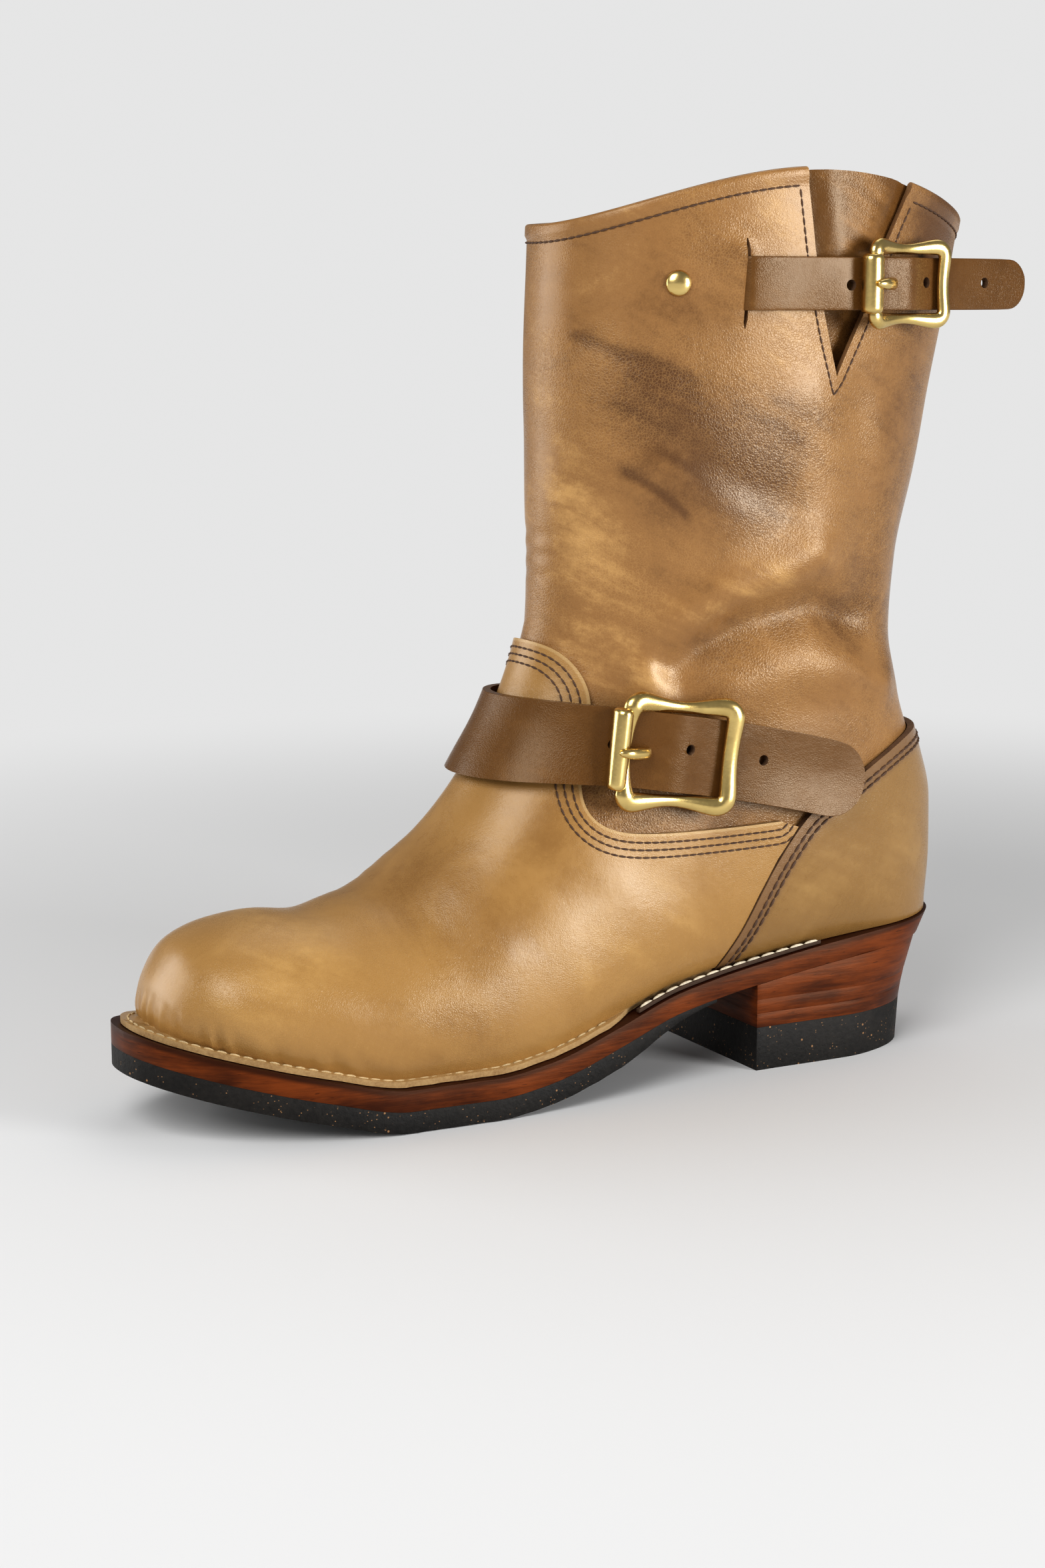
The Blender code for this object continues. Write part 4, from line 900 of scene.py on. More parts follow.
class Paint:
    """A new material and the nodes that feed its shader."""

    def __init__(self, name):
        self.material = bpy.data.materials.new("boot_" + name)
        self.material.use_nodes = True
        self.tree = self.material.node_tree
        self.shader = self.tree.nodes["Principled BSDF"]
        self.place = self.node("ShaderNodeTexCoord", {}, {}, "Object")

    def node(self, kind, settings, values, output=0):
        """Add a node: settings first, then the values or links of its sockets."""
        made = self.tree.nodes.new(kind)
        for key, value in settings.items():
            setattr(made, key, value)
        for key, value in values.items():
            self.feed(made.inputs[key], value)
        return Socket(self, made.outputs[output])

    def feed(self, socket, value):
        if isinstance(value, Socket):
            self.tree.links.new(value.link, socket)
        else:
            socket.default_value = value

    def noise(self, scale, detail=2.0, roughness=0.5, stretch=None, turn=0.0, distortion=0.0):
        """Noise, drawn out by the stretch along axes that are turned in the side view."""
        vector = self.place
        if stretch:
            vector = self.node("ShaderNodeMapping", {"vector_type": "TEXTURE"},
                               {"Vector": self.place, "Rotation": (0.0, turn, 0.0), "Scale": stretch})
        return self.node("ShaderNodeTexNoise", {}, {"Vector": vector, "Scale": scale, "Detail": detail,
                                                    "Roughness": roughness, "Distortion": distortion})

    def cells(self, scale, jitter):
        """Crease network of leather: distance from the lines round small uneven cells."""
        warp = self.node("ShaderNodeTexNoise", {}, {"Vector": self.place, "Scale": scale * 0.6}, "Color")
        moved = self.node("ShaderNodeVectorMath", {"operation": "MULTIPLY_ADD"},
                          {0: warp, 1: (jitter,) * 3, 2: self.place})
        return self.node("ShaderNodeTexVoronoi", {"feature": "DISTANCE_TO_EDGE"},
                         {"Vector": moved, "Scale": scale})

    def attribute(self, name):
        return self.node("ShaderNodeAttribute", {"attribute_name": name}, {}, "Fac")

    def blend(self, factor, first, second):
        """Colour between two colours, in the colour sockets of a Mix node."""
        return self.node("ShaderNodeMix", {"data_type": "RGBA"}, {0: factor, 6: first, 7: second}, 2)

    def fix(self, name, value):
        """Set a socket of the shader that is the same all over."""
        self.shader.inputs[name].default_value = value

    def bump(self, height, distance, strength=1.0, below=None):
        values = {"Height": height, "Distance": distance, "Strength": strength}
        if below is not None:
            values["Normal"] = below
        return self.node("ShaderNodeBump", {}, values)

    def finish(self, **values):
        for key, value in values.items():
            self.feed(self.shader.inputs[key.replace("_", " ").title()], value)
        return self.material


def rgba(colour, gain=1.0):
    return (*(min(1.0, c * gain) for c in colour), 1.0)


def leather_paint(name, base, dark, light, grain, gloss, depth=1.0, tones=True, edge=None,
                  sheen=SHAFT_SHEEN):
    """Pull-up leather: cloudy colour, listed patches with painted shade and painted highlights among
    them, crease grain and an edge band.
    """
    paint = Paint(name)
    cloud = paint.noise(26.0, detail=5.0, roughness=0.62, distortion=0.8)
    fine = paint.noise(420.0, detail=5.0, roughness=0.7)
    streak = paint.noise(150.0, detail=4.0, roughness=0.6, turn=PULL_TURN, stretch=(7.0, 2.0, 1.0))
    net = paint.cells(grain, jitter=0.0009)
    pores = paint.noise(grain * 1.7, detail=3.0, roughness=0.6)
    shade = (cloud - 0.5) * 1.4 + (fine - 0.5) * 0.5 * depth + (streak - 0.5) * 1.1 * depth
    shade = shade + (pores - 0.5) * 0.5 * depth
    if tones:
        # Tone patches from the pieces: real patches and streaks, and on the shaft and vamp also painted
        # shade and painted highlights
        shade = shade + paint.attribute("tone") * (0.3 + streak * 1.2)
    colour = paint.blend(shade.step(0.1, -0.9), rgba(base), rgba(dark))
    colour = paint.blend(shade.step(0.05, 0.9), colour, rgba(light))
    grainy = paint.noise(21.0, detail=3.0).step(0.36, 0.60)
    crease = (1 - net.step(0.0, 0.14)) * (0.15 + grainy * 0.85)
    colour = paint.blend(crease * 0.28 * depth, colour, rgba(light))
    if edge:
        (width, strength), tint = edge
        band = paint.attribute("edge").step(width, width * 0.55) * strength
        colour = paint.blend(band, colour, rgba(tint))
    height = net.step(0.0, 0.3) * (0.15 + grainy * 0.5) + pores * 0.4
    first = paint.bump(height, 0.00012 * depth, strength=0.7)
    swells = paint.noise(85.0, detail=4.0, roughness=0.6)
    normal = paint.bump(swells, 0.0006, strength=0.3, below=first)
    rough = gloss + (fine - 0.5) * 0.1 + (cloud - 0.5) * 0.3 + crease * 0.06
    strength, tint = sheen
    paint.fix("Specular IOR Level", strength)
    return paint.finish(base_color=colour, roughness=rough, normal=normal, specular_tint=tint)


def raw_edge_paint(name, colour, dark):
    """Cut leather edge: fibrous and matt."""
    paint = Paint(name)
    fibre = paint.noise(900.0, detail=3.0, roughness=0.7)
    patch = paint.noise(90.0)
    tone = (fibre - 0.5) * 0.8 + (patch - 0.5) * 0.8 + 0.4
    shade = paint.blend(tone.step(0.0, 1.0), rgba(colour), rgba(dark))
    normal = paint.bump(fibre, 0.0003, strength=0.6)
    return paint.finish(base_color=shade, roughness=0.85, normal=normal)


def thread_paint(name, colour):
    """Twisted waxed thread."""
    paint = Paint(name)
    strand = paint.noise(1800.0)
    patch = paint.noise(60.0)
    tone = strand * 0.6 + patch * 0.4
    shade = paint.blend(tone.step(0.3, 0.7), rgba(colour, 0.7), rgba(colour, 1.15))
    normal = paint.bump(strand, 0.0002, strength=0.5)
    return paint.finish(base_color=shade, roughness=0.7, normal=normal)


def stacked_paint(name, colour, dark, gloss, rim=0.0):
    """Burnished edge of stacked leather, with fine level lines."""
    paint = Paint(name)
    lines = paint.noise(700.0, detail=4.0, roughness=0.7, stretch=(14.0, 14.0, 1.0))
    patch = paint.noise(60.0, detail=4.0, roughness=0.6, stretch=(2.5, 2.5, 1.0))
    tone = lines * 0.45 + patch * 0.75
    shade = paint.blend(tone.step(0.40, 0.78), rgba(dark), rgba(colour))
    if rim:
        # Darker band along the top edge, under the upper
        top_darkening = paint.attribute("drop").step(rim, rim * 0.3) * (0.6 + patch * 0.6)
        shade = paint.blend(top_darkening, shade, rgba(dark, 0.55))
    nick = paint.noise(900.0, stretch=(5.0, 5.0, 1.0)).step(0.66, 0.74)
    shade = paint.blend(nick * 0.6, shade, rgba(dark, 0.5))
    normal = paint.bump(lines, 0.00025, strength=0.5)
    rough = gloss + (patch - 0.5) * 0.2
    paint.fix("Specular IOR Level", 0.3)
    return paint.finish(base_color=shade, roughness=rough, normal=normal, specular_tint=STAIN_TINT)


def rubber_paint(name, colour, speck):
    """Cork-filled rubber: charcoal with scattered tan specks."""
    paint = Paint(name)
    patch = paint.noise(38.0, detail=4.0)
    dust = paint.noise(520.0, detail=4.0, roughness=0.7)
    tone = patch * 0.5 + dust * 0.5
    shade = paint.blend(tone.step(0.35, 0.7), rgba(colour, 0.5), rgba(colour, 1.8))
    for scale, size, share in ((330.0, 0.16, 0.52), (720.0, 0.18, 0.49)):
        spots = paint.node("ShaderNodeTexVoronoi", {"feature": "F1"},
                           {"Vector": paint.place, "Scale": scale})
        mask = spots.step(size, size * 0.6) * paint.noise(scale * 0.21).step(share, share + 0.06)
        shade = paint.blend(mask * 0.85, shade, rgba(speck))
    normal = paint.bump(dust, 0.0005, strength=0.6)
    paint.fix("Specular IOR Level", 0.25)
    return paint.finish(base_color=shade, roughness=0.62 + (patch - 0.5) * 0.2, normal=normal)


def brass_paint(name, colour, dark):
    """Satin cast brass with a faint tarnish."""
    paint = Paint(name)
    cloud = paint.noise(55.0, detail=4.0, roughness=0.6)
    fine = paint.noise(700.0)
    shade = paint.blend(cloud.step(0.45, 0.75) * 0.5, rgba(colour), rgba(dark))
    normal = paint.bump(fine, 0.00006, strength=0.4)
    rough = 0.24 + (cloud - 0.5) * 0.16 + (fine - 0.5) * 0.08
    paint.fix("Metallic", 1.0)
    return paint.finish(base_color=shade, roughness=rough, normal=normal)


def stage_paint(name, colour, surround):
    """Matt studio paper that fades into the surround far from the boot."""
    paint = Paint(name)
    cloud = paint.noise(1.5)
    shade = paint.blend(cloud, rgba(colour, 0.985), rgba(colour))
    paint.finish(base_color=shade, roughness=0.9)
    away = paint.node("ShaderNodeVectorMath", {"operation": "LENGTH"}, {0: paint.place}, "Value")
    glow = paint.node("ShaderNodeEmission", {}, {"Color": WHITE, "Strength": surround})
    near = Socket(paint, paint.shader.outputs[0])
    both = paint.node("ShaderNodeMixShader", {}, {0: away.step(*FLOOR_FADE), 1: near, 2: glow})
    paint.feed(paint.tree.nodes["Material Output"].inputs["Surface"], both)
    return paint.material


def colour_property(name, description, default):
    return FloatVectorProperty(name=name, description=description, default=default, size=3,
                               min=0.0, max=1.0, subtype="COLOR")


def share_property(name, description, default):
    return FloatProperty(name=name, description=description, default=default, min=0.0, max=1.0,
                         subtype="FACTOR")


def power_property(name, description, default):
    return FloatProperty(name=name, description=description, default=default, unit="POWER")


class BootLeather(bpy.types.PropertyGroup):
    """Colours of the leather parts."""

    shaft: colour_property("Shaft", "Colour of the shaft leather", (0.245, 0.125, 0.045))
    shaft_dark: colour_property("Shaft shade", "Darkest patches of the shaft", (0.095, 0.043, 0.017))
    shaft_light: colour_property("Shaft pull-up", "Lightest patches of the shaft", (0.450, 0.262, 0.100))
    vamp: colour_property("Vamp", "Colour of the vamp and counter", (0.315, 0.173, 0.055))
    vamp_dark: colour_property("Vamp shade", "Darkest patches of the vamp", (0.185, 0.090, 0.026))
    vamp_light: colour_property("Vamp pull-up", "Lightest patches of the vamp", (0.450, 0.268, 0.094))
    counter_shade: share_property("Counter shade", "Counter's colour as a share of the vamp's", 0.72)
    strap: colour_property("Strap", "Colour of the straps", (0.105, 0.046, 0.012))
    strap_dark: colour_property("Strap shade", "Darkest patches of the straps", (0.045, 0.019, 0.007))
    strap_light: colour_property("Strap pull-up", "Lightest strap patches", (0.230, 0.112, 0.034))
    edge_pale: colour_property("Pale edge", "Raw edge of the vamp and its flange", (0.44, 0.29, 0.13))
    edge_dark: colour_property("Dark edge", "Raw edge of the counter and straps", (0.16, 0.085, 0.04))
    grain: FloatProperty(name="Grain", description="Crease cells in each metre of leather",
                         default=1050.0)
    gloss: share_property("Roughness", "Roughness of the leather", 0.27)


class BootSole(bpy.types.PropertyGroup):
    """Colours of the sole and heel."""

    stack: colour_property("Stacked leather", "Burnished sole and heel edges", (0.150, 0.034, 0.006))
    stack_dark: colour_property("Stack shade", "Dark lines of the edges", (0.030, 0.006, 0.002))
    ledge: colour_property("Ledge", "Dark rim strip along the waist", (0.055, 0.028, 0.014))
    rubber: colour_property("Rubber", "Charcoal rubber", (0.0085, 0.0072, 0.0060))
    cork: colour_property("Cork", "Specks in the rubber", (0.30, 0.16, 0.07))
    insole: colour_property("Insole", "Leather inside the boot", (0.42, 0.27, 0.14))


class BootTrim(bpy.types.PropertyGroup):
    """Colours of the metal and threads."""

    brass: colour_property("Brass", "Buckles and rivet", (0.76, 0.57, 0.23))
    tarnish: colour_property("Tarnish", "Duller patches of the brass", (0.40, 0.27, 0.09))
    brown_thread: colour_property("Brown thread", "Stitches of the upper", (0.070, 0.032, 0.014))
    pale_thread: colour_property("Pale thread", "Stitches of the waist", (0.60, 0.53, 0.40))
    flange_thread: colour_property("Flange thread", "Stitches of the flange", (0.52, 0.39, 0.21))


class BootStage(bpy.types.PropertyGroup):
    """Studio floor and light."""

    floor: colour_property("Floor", "Colour of the studio paper", (0.66, 0.66, 0.66))
    left: power_property("Left soft box", "Power of the light at the toe's side", 7.0)
    right: power_property("Right soft box", "Power of the light at the heel's side", 15.0)
    front: power_property("Front soft box", "Power of the light beside the camera", 12.5)
    top: power_property("Top soft box", "Power of the light above", 3.0)
    surround: FloatProperty(name="Surround", description="Brightness of the plain surround", default=0.67)
    ambient: FloatProperty(name="Ambient", description="Light that the surround gives", default=0.20)


def cad_row(row):
    """Dense row that matches a row of the coarse solids, from the toe past the heel to the collar."""
    if row <= CAD_FOOT_ROWS:
        return round(row / CAD_FOOT_ROWS * (FOOT_ROWS - 1))
    return HEEL_ROW + round((row - CAD_FOOT_ROWS) / CAD_SHAFT_ROWS * (SHAFT_ROWS - 1))


def rim_rows(outer, inner):
    """Rows that close the collar over with a round edge."""
    middle, half = (outer[-1] + inner[-1]) / 2, (outer[-1] - inner[-1]) / 2
    up = np.array((0, 0, 1.0)) * np.linalg.norm(half, axis=1)[:, None]
    rows = []
    for turn in np.pi * np.arange(1, RIM_ROWS) / RIM_ROWS:
        rows.append(middle + half * math.cos(turn) + up * math.sin(turn) * RIM_ROUND)
    return np.array(rows)


def slot_outline():
    """Side-view outline of the strap's slot, tapered at its two ends."""
    outline = []
    for side in (-1, 1):
        tip, full = SLOT_Z + side * SLOT_HALF, SLOT_Z + side * (SLOT_HALF - SLOT_TAPER)
        end = [(SLOT_BACK, full), (SLOT_MIDDLE - SLOT_TIP, tip), (SLOT_MIDDLE + SLOT_TIP, tip)]
        end.append((SLOT_FRONT, full))
        outline += end[::-side]
    return outline


class BOOT_OT_upper(bpy.types.Operator):
    """Hollow leather upper with its shaft, rolled collar, V notch and strap slot"""

    bl_idname = "boot.upper"
    bl_label = "Upper"

    def execute(self, context):
        colours = context.scene.boot_leather
        body = leather_paint("shaft_leather", colours.shaft, colours.shaft_dark, colours.shaft_light,
                             colours.grain, colours.gloss)
        raw = raw_edge_paint("shaft_raw_edge", colours.shaft, colours.shaft_dark)
        relief = shaft_relief(GRID)
        down = np.linalg.norm(GRID - GRID[-1:], axis=-1)
        swell = RIM_SWELL * (1 - smooth_step(down, RIM_HEIGHT - RIM_FADE, RIM_HEIGHT))
        swell[:HEEL_ROW] = 0.0
        outer = skin(0.0, relief + swell)
        inner = skin(-WALL, relief)
        top = rim_rows(outer, inner)
        grid = np.concatenate([outer, top, inner[::-1]])
        rows, columns = grid.shape[:2]
        first = np.arange(HEEL_ROW + 1) * columns
        last = (rows - 1) * columns - first
        strips = []
        for j in (0, columns - 1):
            strips.append(np.stack([first[:-1] + j, first[1:] + j, last[1:] + j, last[:-1] + j], -1))
        faces = np.concatenate([grid_quads(rows, columns)] + strips)
        upper = new_piece("boot_upper", grid.reshape(-1, 3), faces, [body])
        for name, outline in (("notch", NOTCH), ("slot", slot_outline())):
            cut(upper, side_prism(name, outline, raw, low_y=NOTCH_INNER), "DIFFERENCE")
        # Tone of the shaft: dark patches and streaks, with painted shade and painted highlights among
        # them
        set_attribute(upper, "tone", folds(mesh_points(upper), SHAFT_PATCHES_AND_PAINTED_LIGHT))
        smooth(upper)
        finish_piece(upper, "shaft_leather", "upper")
        return {"FINISHED"}


def settle_on_flange(points, edges, height):
    """Lay the lowest columns of each row on the flange's flat top, so that the wall rises from it."""
    for i in range(1, len(points)):
        for edge, order in ((edges[0][i], 1), (edges[1][i], -1)):
            row = points[i][::order]
            over = row[:, 2] - seat(row[:, 0]) - height
            k = int(np.argmax(over > 0))
            if k == 0:
                continue
            share = over[k - 1] / (over[k - 1] - over[k])
            foot = row[k - 1] + share * (row[k] - row[k - 1])
            for j in range(k):
                row[j] = edge + (foot - edge) * (j + 1) / k
                row[j, 2] = seat(row[j, 0]) + height
    return points


def flange_edges(height, inset=0.0):
    """Outer edge of the stitched-down flange on each side: full along the forefoot, none behind."""
    x = last_rows()["end_x"][:HEEL_ROW]
    share = smooth_step(x, FLANGE_BACK, FLANGE_FULL)[:, None]
    toe_reach = smooth_step(x, FEATHER_TIP - TOE_ROUND, FEATHER_TIP) ** 2
    ledge = FLANGE_LEDGE + inset
    full_x = x + toe_reach * (SOLE_TIP - ledge - FEATHER_TIP)
    ragged = FLANGE_RAGGED * np.sin(full_x * 0.9) * np.sin(full_x * 0.37 + 1.0)
    full_half = outline_half(full_x, ledge + ragged, SOLE_BACK, SOLE_TIP - ledge)
    full_half[0] = 0.0
    narrow = skin(VAMP_OUT + GAP)[:HEEL_ROW]
    edges = []
    for edge_column, side in ((0, 1), (-1, -1)):
        full = np.stack([full_x, sole_centre(full_x) + side * full_half], -1)
        plan = narrow[:, edge_column, :2] * (1 - share) + full * share
        edges.append(np.concatenate([plan, (seat(plan[:, 0]) + height)[:, None]], -1))
    return edges


def vamp_outline():
    """Side-view outline of the vamp: in front of the counter and below its stitched edge."""
    rear = [(x + FITTED_EDGE, z) for x, z in COUNTER_FRONT]
    front = [(PAST_TOE, VAMP_TOP[-1][1]), (PAST_TOE, BELOW_SOLE)]
    return [(COUNTER_FRONT[0][0], BELOW_SOLE)] + rear + VAMP_EDGE.tolist() + front


def toe_puckers(points):
    """Small wrinkles where the vamp turns out on to the sole round the toe."""
    over = points[..., 2] - seat(points[..., 0])
    near = smooth_step(over, *PUCKER_START) * (1 - smooth_step(over, *PUCKER_END))
    toe = smooth_step(points[..., 0], *TOE_FADE)
    turn = np.arctan2(points[..., 1] - TOE_MIDDLE[1], points[..., 0] - TOE_MIDDLE[0])
    wave = np.sin(turn * 46 + 2.0 * np.sin(turn * 13)) + 0.6 * np.sin(turn * 81 + 1.0)
    return PUCKER_HEIGHT * wave * near * (0.2 + 0.8 * toe)


class BOOT_OT_vamp(bpy.types.Operator):
    """Vamp with its turned-out flange, pale cut edge and puckers round the toe"""

    bl_idname = "boot.vamp"
    bl_label = "Vamp"

    def execute(self, context):
        colours = context.scene.boot_leather
        body = leather_paint("vamp_leather", colours.vamp, colours.vamp_dark, colours.vamp_light,
                             colours.grain * VAMP_GRAIN, colours.gloss, depth=VAMP_DEPTH,
                             edge=(VAMP_BAND, colours.edge_pale), sheen=VAMP_SHEEN)
        raw = raw_edge_paint("vamp_raw_edge", colours.edge_pale, colours.vamp_dark)
        relief = toe_puckers(GRID) + folds(GRID, VAMP_FOLDS) + OVERLAY_SLACK * slack(GRID)
        outer = skin(VAMP_OUT, relief)[:HEEL_ROW]
        inner = skin(OVERLAY_GAP)[:HEEL_ROW]
        high, low = GAP + FLANGE_THICK, GAP
        top_edges, low_edges = flange_edges(high), flange_edges(low)
        outer[0, :, 2] = np.maximum(outer[0, :, 2], seat(outer[0, :, 0]) + high)
        outer = settle_on_flange(outer, top_edges, high)
        grids = []
        for grid, edges in ((outer, top_edges), (inner, low_edges)):
            grids.append(np.concatenate([edges[0][:, None], grid, edges[1][:, None]], axis=1))
        points, faces, skins = shell(grids[0], grids[1])
        vamp = new_piece("boot_vamp", points, faces, [body, raw], skins)
        cut(vamp, side_prism("vamp_edge", vamp_outline(), raw), "INTERSECT")
        places = mesh_points(vamp)
        # Tone of the vamp: its painted shade and painted highlights
        set_attribute(vamp, "tone", folds(places, VAMP_PAINTED_LIGHT))
        over = np.maximum(places[:, 2] - seat(places[:, 0]) - high, 0.0)
        flange = np.where(places[:, 0] > FLANGE_BACK, over * FLANGE_BAND, NO_BAND)
        edge = np.minimum(line_distance(places[:, (0, 2)], VAMP_EDGE), flange)
        set_attribute(vamp, "edge", edge)
        smooth(vamp)
        finish_piece(vamp, "vamp_leather", "vamp")
        return {"FINISHED"}


class BOOT_OT_counter(bpy.types.Operator):
    """Heel counter with a dark cut edge"""

    bl_idname = "boot.counter"
    bl_label = "Counter"

    def execute(self, context):
        colours = context.scene.boot_leather
        tans = [[c * colours.counter_shade for c in tan]
                for tan in (colours.vamp, colours.vamp_dark, colours.vamp_light)]
        body = leather_paint("counter_leather", *tans, colours.grain * VAMP_GRAIN, colours.gloss,
                             depth=VAMP_DEPTH, edge=(COUNTER_BAND, colours.edge_dark),
                             sheen=VAMP_SHEEN)
        raw = raw_edge_paint("counter_raw_edge", colours.edge_dark, colours.strap_dark)
        rows = slice(cad_row(COUNTER_FIRST_ROW), cad_row(COUNTER_LAST_ROW) + 1)
        outer = skin(COUNTER_OUT, OVERLAY_SLACK * slack(GRID))[rows]
        inner = skin(OVERLAY_GAP)[rows]
        open_rows = HEEL_ROW + 1 - rows.start
        points, faces, skins = shell(outer, inner, open_rows, close_start=True)
        counter = new_piece("boot_counter", points, faces, [body, raw], skins)
        low_front = (COUNTER_FRONT[0][0], BELOW_SOLE)
        low_back = (COUNTER_TOP[-1][0], BELOW_SOLE)
        outline = [low_front] + COUNTER_EDGE.tolist() + [low_back]
        cut(counter, side_prism("counter_edge", outline, raw), "INTERSECT")
        places = mesh_points(counter)
        middle = (places[:, 2] - COUNTER_MIDDLE) / COUNTER_SPREAD
        set_attribute(counter, "tone", COUNTER_TONE * np.exp(-middle ** 2))
        set_attribute(counter, "edge", line_distance(places[:, (0, 2)], COUNTER_EDGE))
        smooth(counter)
        finish_piece(counter, "counter_leather", "counter")
        return {"FINISHED"}


def notch_panel():
    """The notch's outline spread out by the seam margin."""
    tip = NOTCH[NOTCH_TIP]
    front = [(x + NOTCH_MARGIN, z) for x, z in NOTCH[:NOTCH_TIP]]
    rear = [(x - NOTCH_MARGIN, z) for x, z in NOTCH[NOTCH_TIP + 1:]]
    return front + [(tip[0], tip[1] - 2 * NOTCH_MARGIN)] + rear


class BOOT_OT_gusset(bpy.types.Operator):
    """Soft gusset behind the V notch, bulging out through it"""

    bl_idname = "boot.gusset"
    bl_label = "Gusset"

    def execute(self, context):
        colours = context.scene.boot_leather
        # The straps' darker colours on the gusset are partly its own leather and partly painted shade
        # behind the notch
        body = leather_paint("gusset_leather", colours.strap, colours.strap_dark, colours.strap_light,
                             colours.grain, colours.gloss, sheen=STRAP_SHEEN)
        raw = raw_edge_paint("gusset_raw_edge", colours.shaft, colours.shaft_dark)
        rows = slice(cad_row(GUSSET_ROW), None)
        columns = slice(round(HALF_COLUMNS / 6), HALF_COLUMNS - round(HALF_COLUMNS / 12))
        inside = np.maximum(0.0, -signed_notch(GRID))
        rise = smooth_step(GRID[..., 2], *GUSSET_RISE)
        bulge = GUSSET_BULGE * smooth_step(inside, *GUSSET_SPREAD) * rise - GUSSET_SINK * (1 - rise)
        outer = skin(-WALL - GAP, bulge)[rows, columns]
        inner = skin(-WALL - GAP - GUSSET_OUT, bulge)[rows, columns]
        points, faces, skins = shell(outer, inner, close_start=True)
        gusset = new_piece("boot_gusset", points, faces, [body, raw], skins)
        cut(gusset, side_prism("gusset_edge", notch_panel(), raw, low_y=NOTCH_INNER), "INTERSECT")
        wave = np.sin(mesh_points(gusset)[:, 0] / GUSSET_PITCH)
        set_attribute(gusset, "tone", GUSSET_TONE + GUSSET_WAVE * wave)
        smooth(gusset)
        finish_piece(gusset, "shaft_leather", "gusset")
        return {"FINISHED"}


def signed_notch(points):
    """Side-view distance from the notch's two edges, negative inside, with a sharp tip."""
    x, z = points[..., 0], points[..., 2]
    tip = NOTCH[NOTCH_TIP]
    distances = []
    for edge, side in ((NOTCH[:NOTCH_TIP + 1], 1.0), (NOTCH[NOTCH_TIP:], -1.0)):
        at = smooth_curve([(height, place) for place, height in edge])
        lean = (at(tip[1] + TIP_LENGTH) - tip[0]) / TIP_LENGTH
        place = np.where(z < tip[1], tip[0] + lean * (z - tip[1]), at(z))
        distances.append(side * (x - place) / math.hypot(1.0, lean))
    return np.maximum(*distances)


class BOOT_OT_back_stay(bpy.types.Operator):
    """Strip over the back seam"""

    bl_idname = "boot.back_stay"
    bl_label = "Back stay"

    def execute(self, context):
        colours = context.scene.boot_leather
        body = leather_paint("stay_leather", colours.shaft, colours.shaft_dark, colours.shaft_light,
                             colours.grain, colours.gloss, tones=False,
                             edge=(STAY_BAND, colours.edge_dark))
        raw = raw_edge_paint("stay_raw_edge", colours.edge_dark, colours.strap_dark)
        reach = round(HALF_COLUMNS / 4)
        around = list(range(2 * HALF_COLUMNS - reach, 2 * HALF_COLUMNS)) + list(range(0, reach + 1))
        rows = slice(cad_row(STAY_FIRST_ROW), None)
        relief = shaft_relief(GRID)
        outer = skin(STAY_OUT, relief)[rows][:, around]
        inner = skin(GAP, relief)[rows][:, around]
        points, faces, skins = shell(outer, inner, close_start=True)
        stay = new_piece("boot_back_stay", points, faces, [body, raw], skins)
        outline = [(STAY_BEHIND, STAY_BOTTOM), (STAY_AHEAD, STAY_BOTTOM),
                   (STAY_AHEAD, STAY_TOP), (STAY_BEHIND, STAY_TOP)]
        cut(stay, side_prism("stay_edge", outline, raw, -STAY_HALF, STAY_HALF), "INTERSECT")
        places = mesh_points(stay)
        set_attribute(stay, "edge", STAY_HALF - np.abs(places[:, 1]))
        smooth(stay)
        finish_piece(stay, "shaft_leather", "back_stay")
        return {"FINISHED"}


def end_packed(back, tip, count):
    """Stations along the sole, packed towards its round ends."""
    return back + (tip - back) * (1 - np.cos(np.pi * np.linspace(0, 1, count))) / 2


def slab(name, top, low, material, bevel):
    """Slab from a grid primitive: two faces, each of x, half-breadth and height at its stations.

    The grid is laid on the top face and extruded, and the copy is laid on the low face.
    """
    deselect()
    count = len(top[0])
    bpy.ops.mesh.primitive_grid_add(x_subdivisions=count - 1, y_subdivisions=SLAB_LANES, size=2.0)
    piece = bpy.context.object
    piece.name = piece.data.name = name
    flat = vertex_vectors(piece, "co")
    station = np.rint((flat[:, 0] + 1) / 2 * (count - 1)).astype(int)

    def lay(numbers, face):
        x, half, height = (part[station] for part in face)
        places = np.stack([x, sole_centre(x) + half * flat[:, 1], height], -1) * MM
        for number, place in zip(numbers, places):
            piece.data.vertices[number].co = place

    lay(range(len(flat)), top)
    bpy.ops.object.mode_set(mode="EDIT")
    bpy.ops.mesh.select_all(action="SELECT")
    bpy.ops.mesh.extrude_region_move()
    bpy.ops.object.mode_set(mode="OBJECT")
    moved = [v.index for v in piece.data.vertices if v.select]
    if len(moved) != len(flat):
        raise RuntimeError("the extrusion did not copy the whole grid of " + name)
    lay(moved, low)
    piece.data.materials.append(material)
    close_mesh(piece.data)
    bevel_edges(piece, bevel, 40)
    apply_modifiers(piece)
    smooth(piece, 45.0)
    return piece


def heel_back(z):
    """Back edge of the heel at a height: full at the seat and drawn in at the tread."""
    share = np.clip(z / SOLE[0].seat, 0, 1) ** HEEL_CURVE
    return SOLE_BACK + HEEL_UNDERCUT * (1 - share)


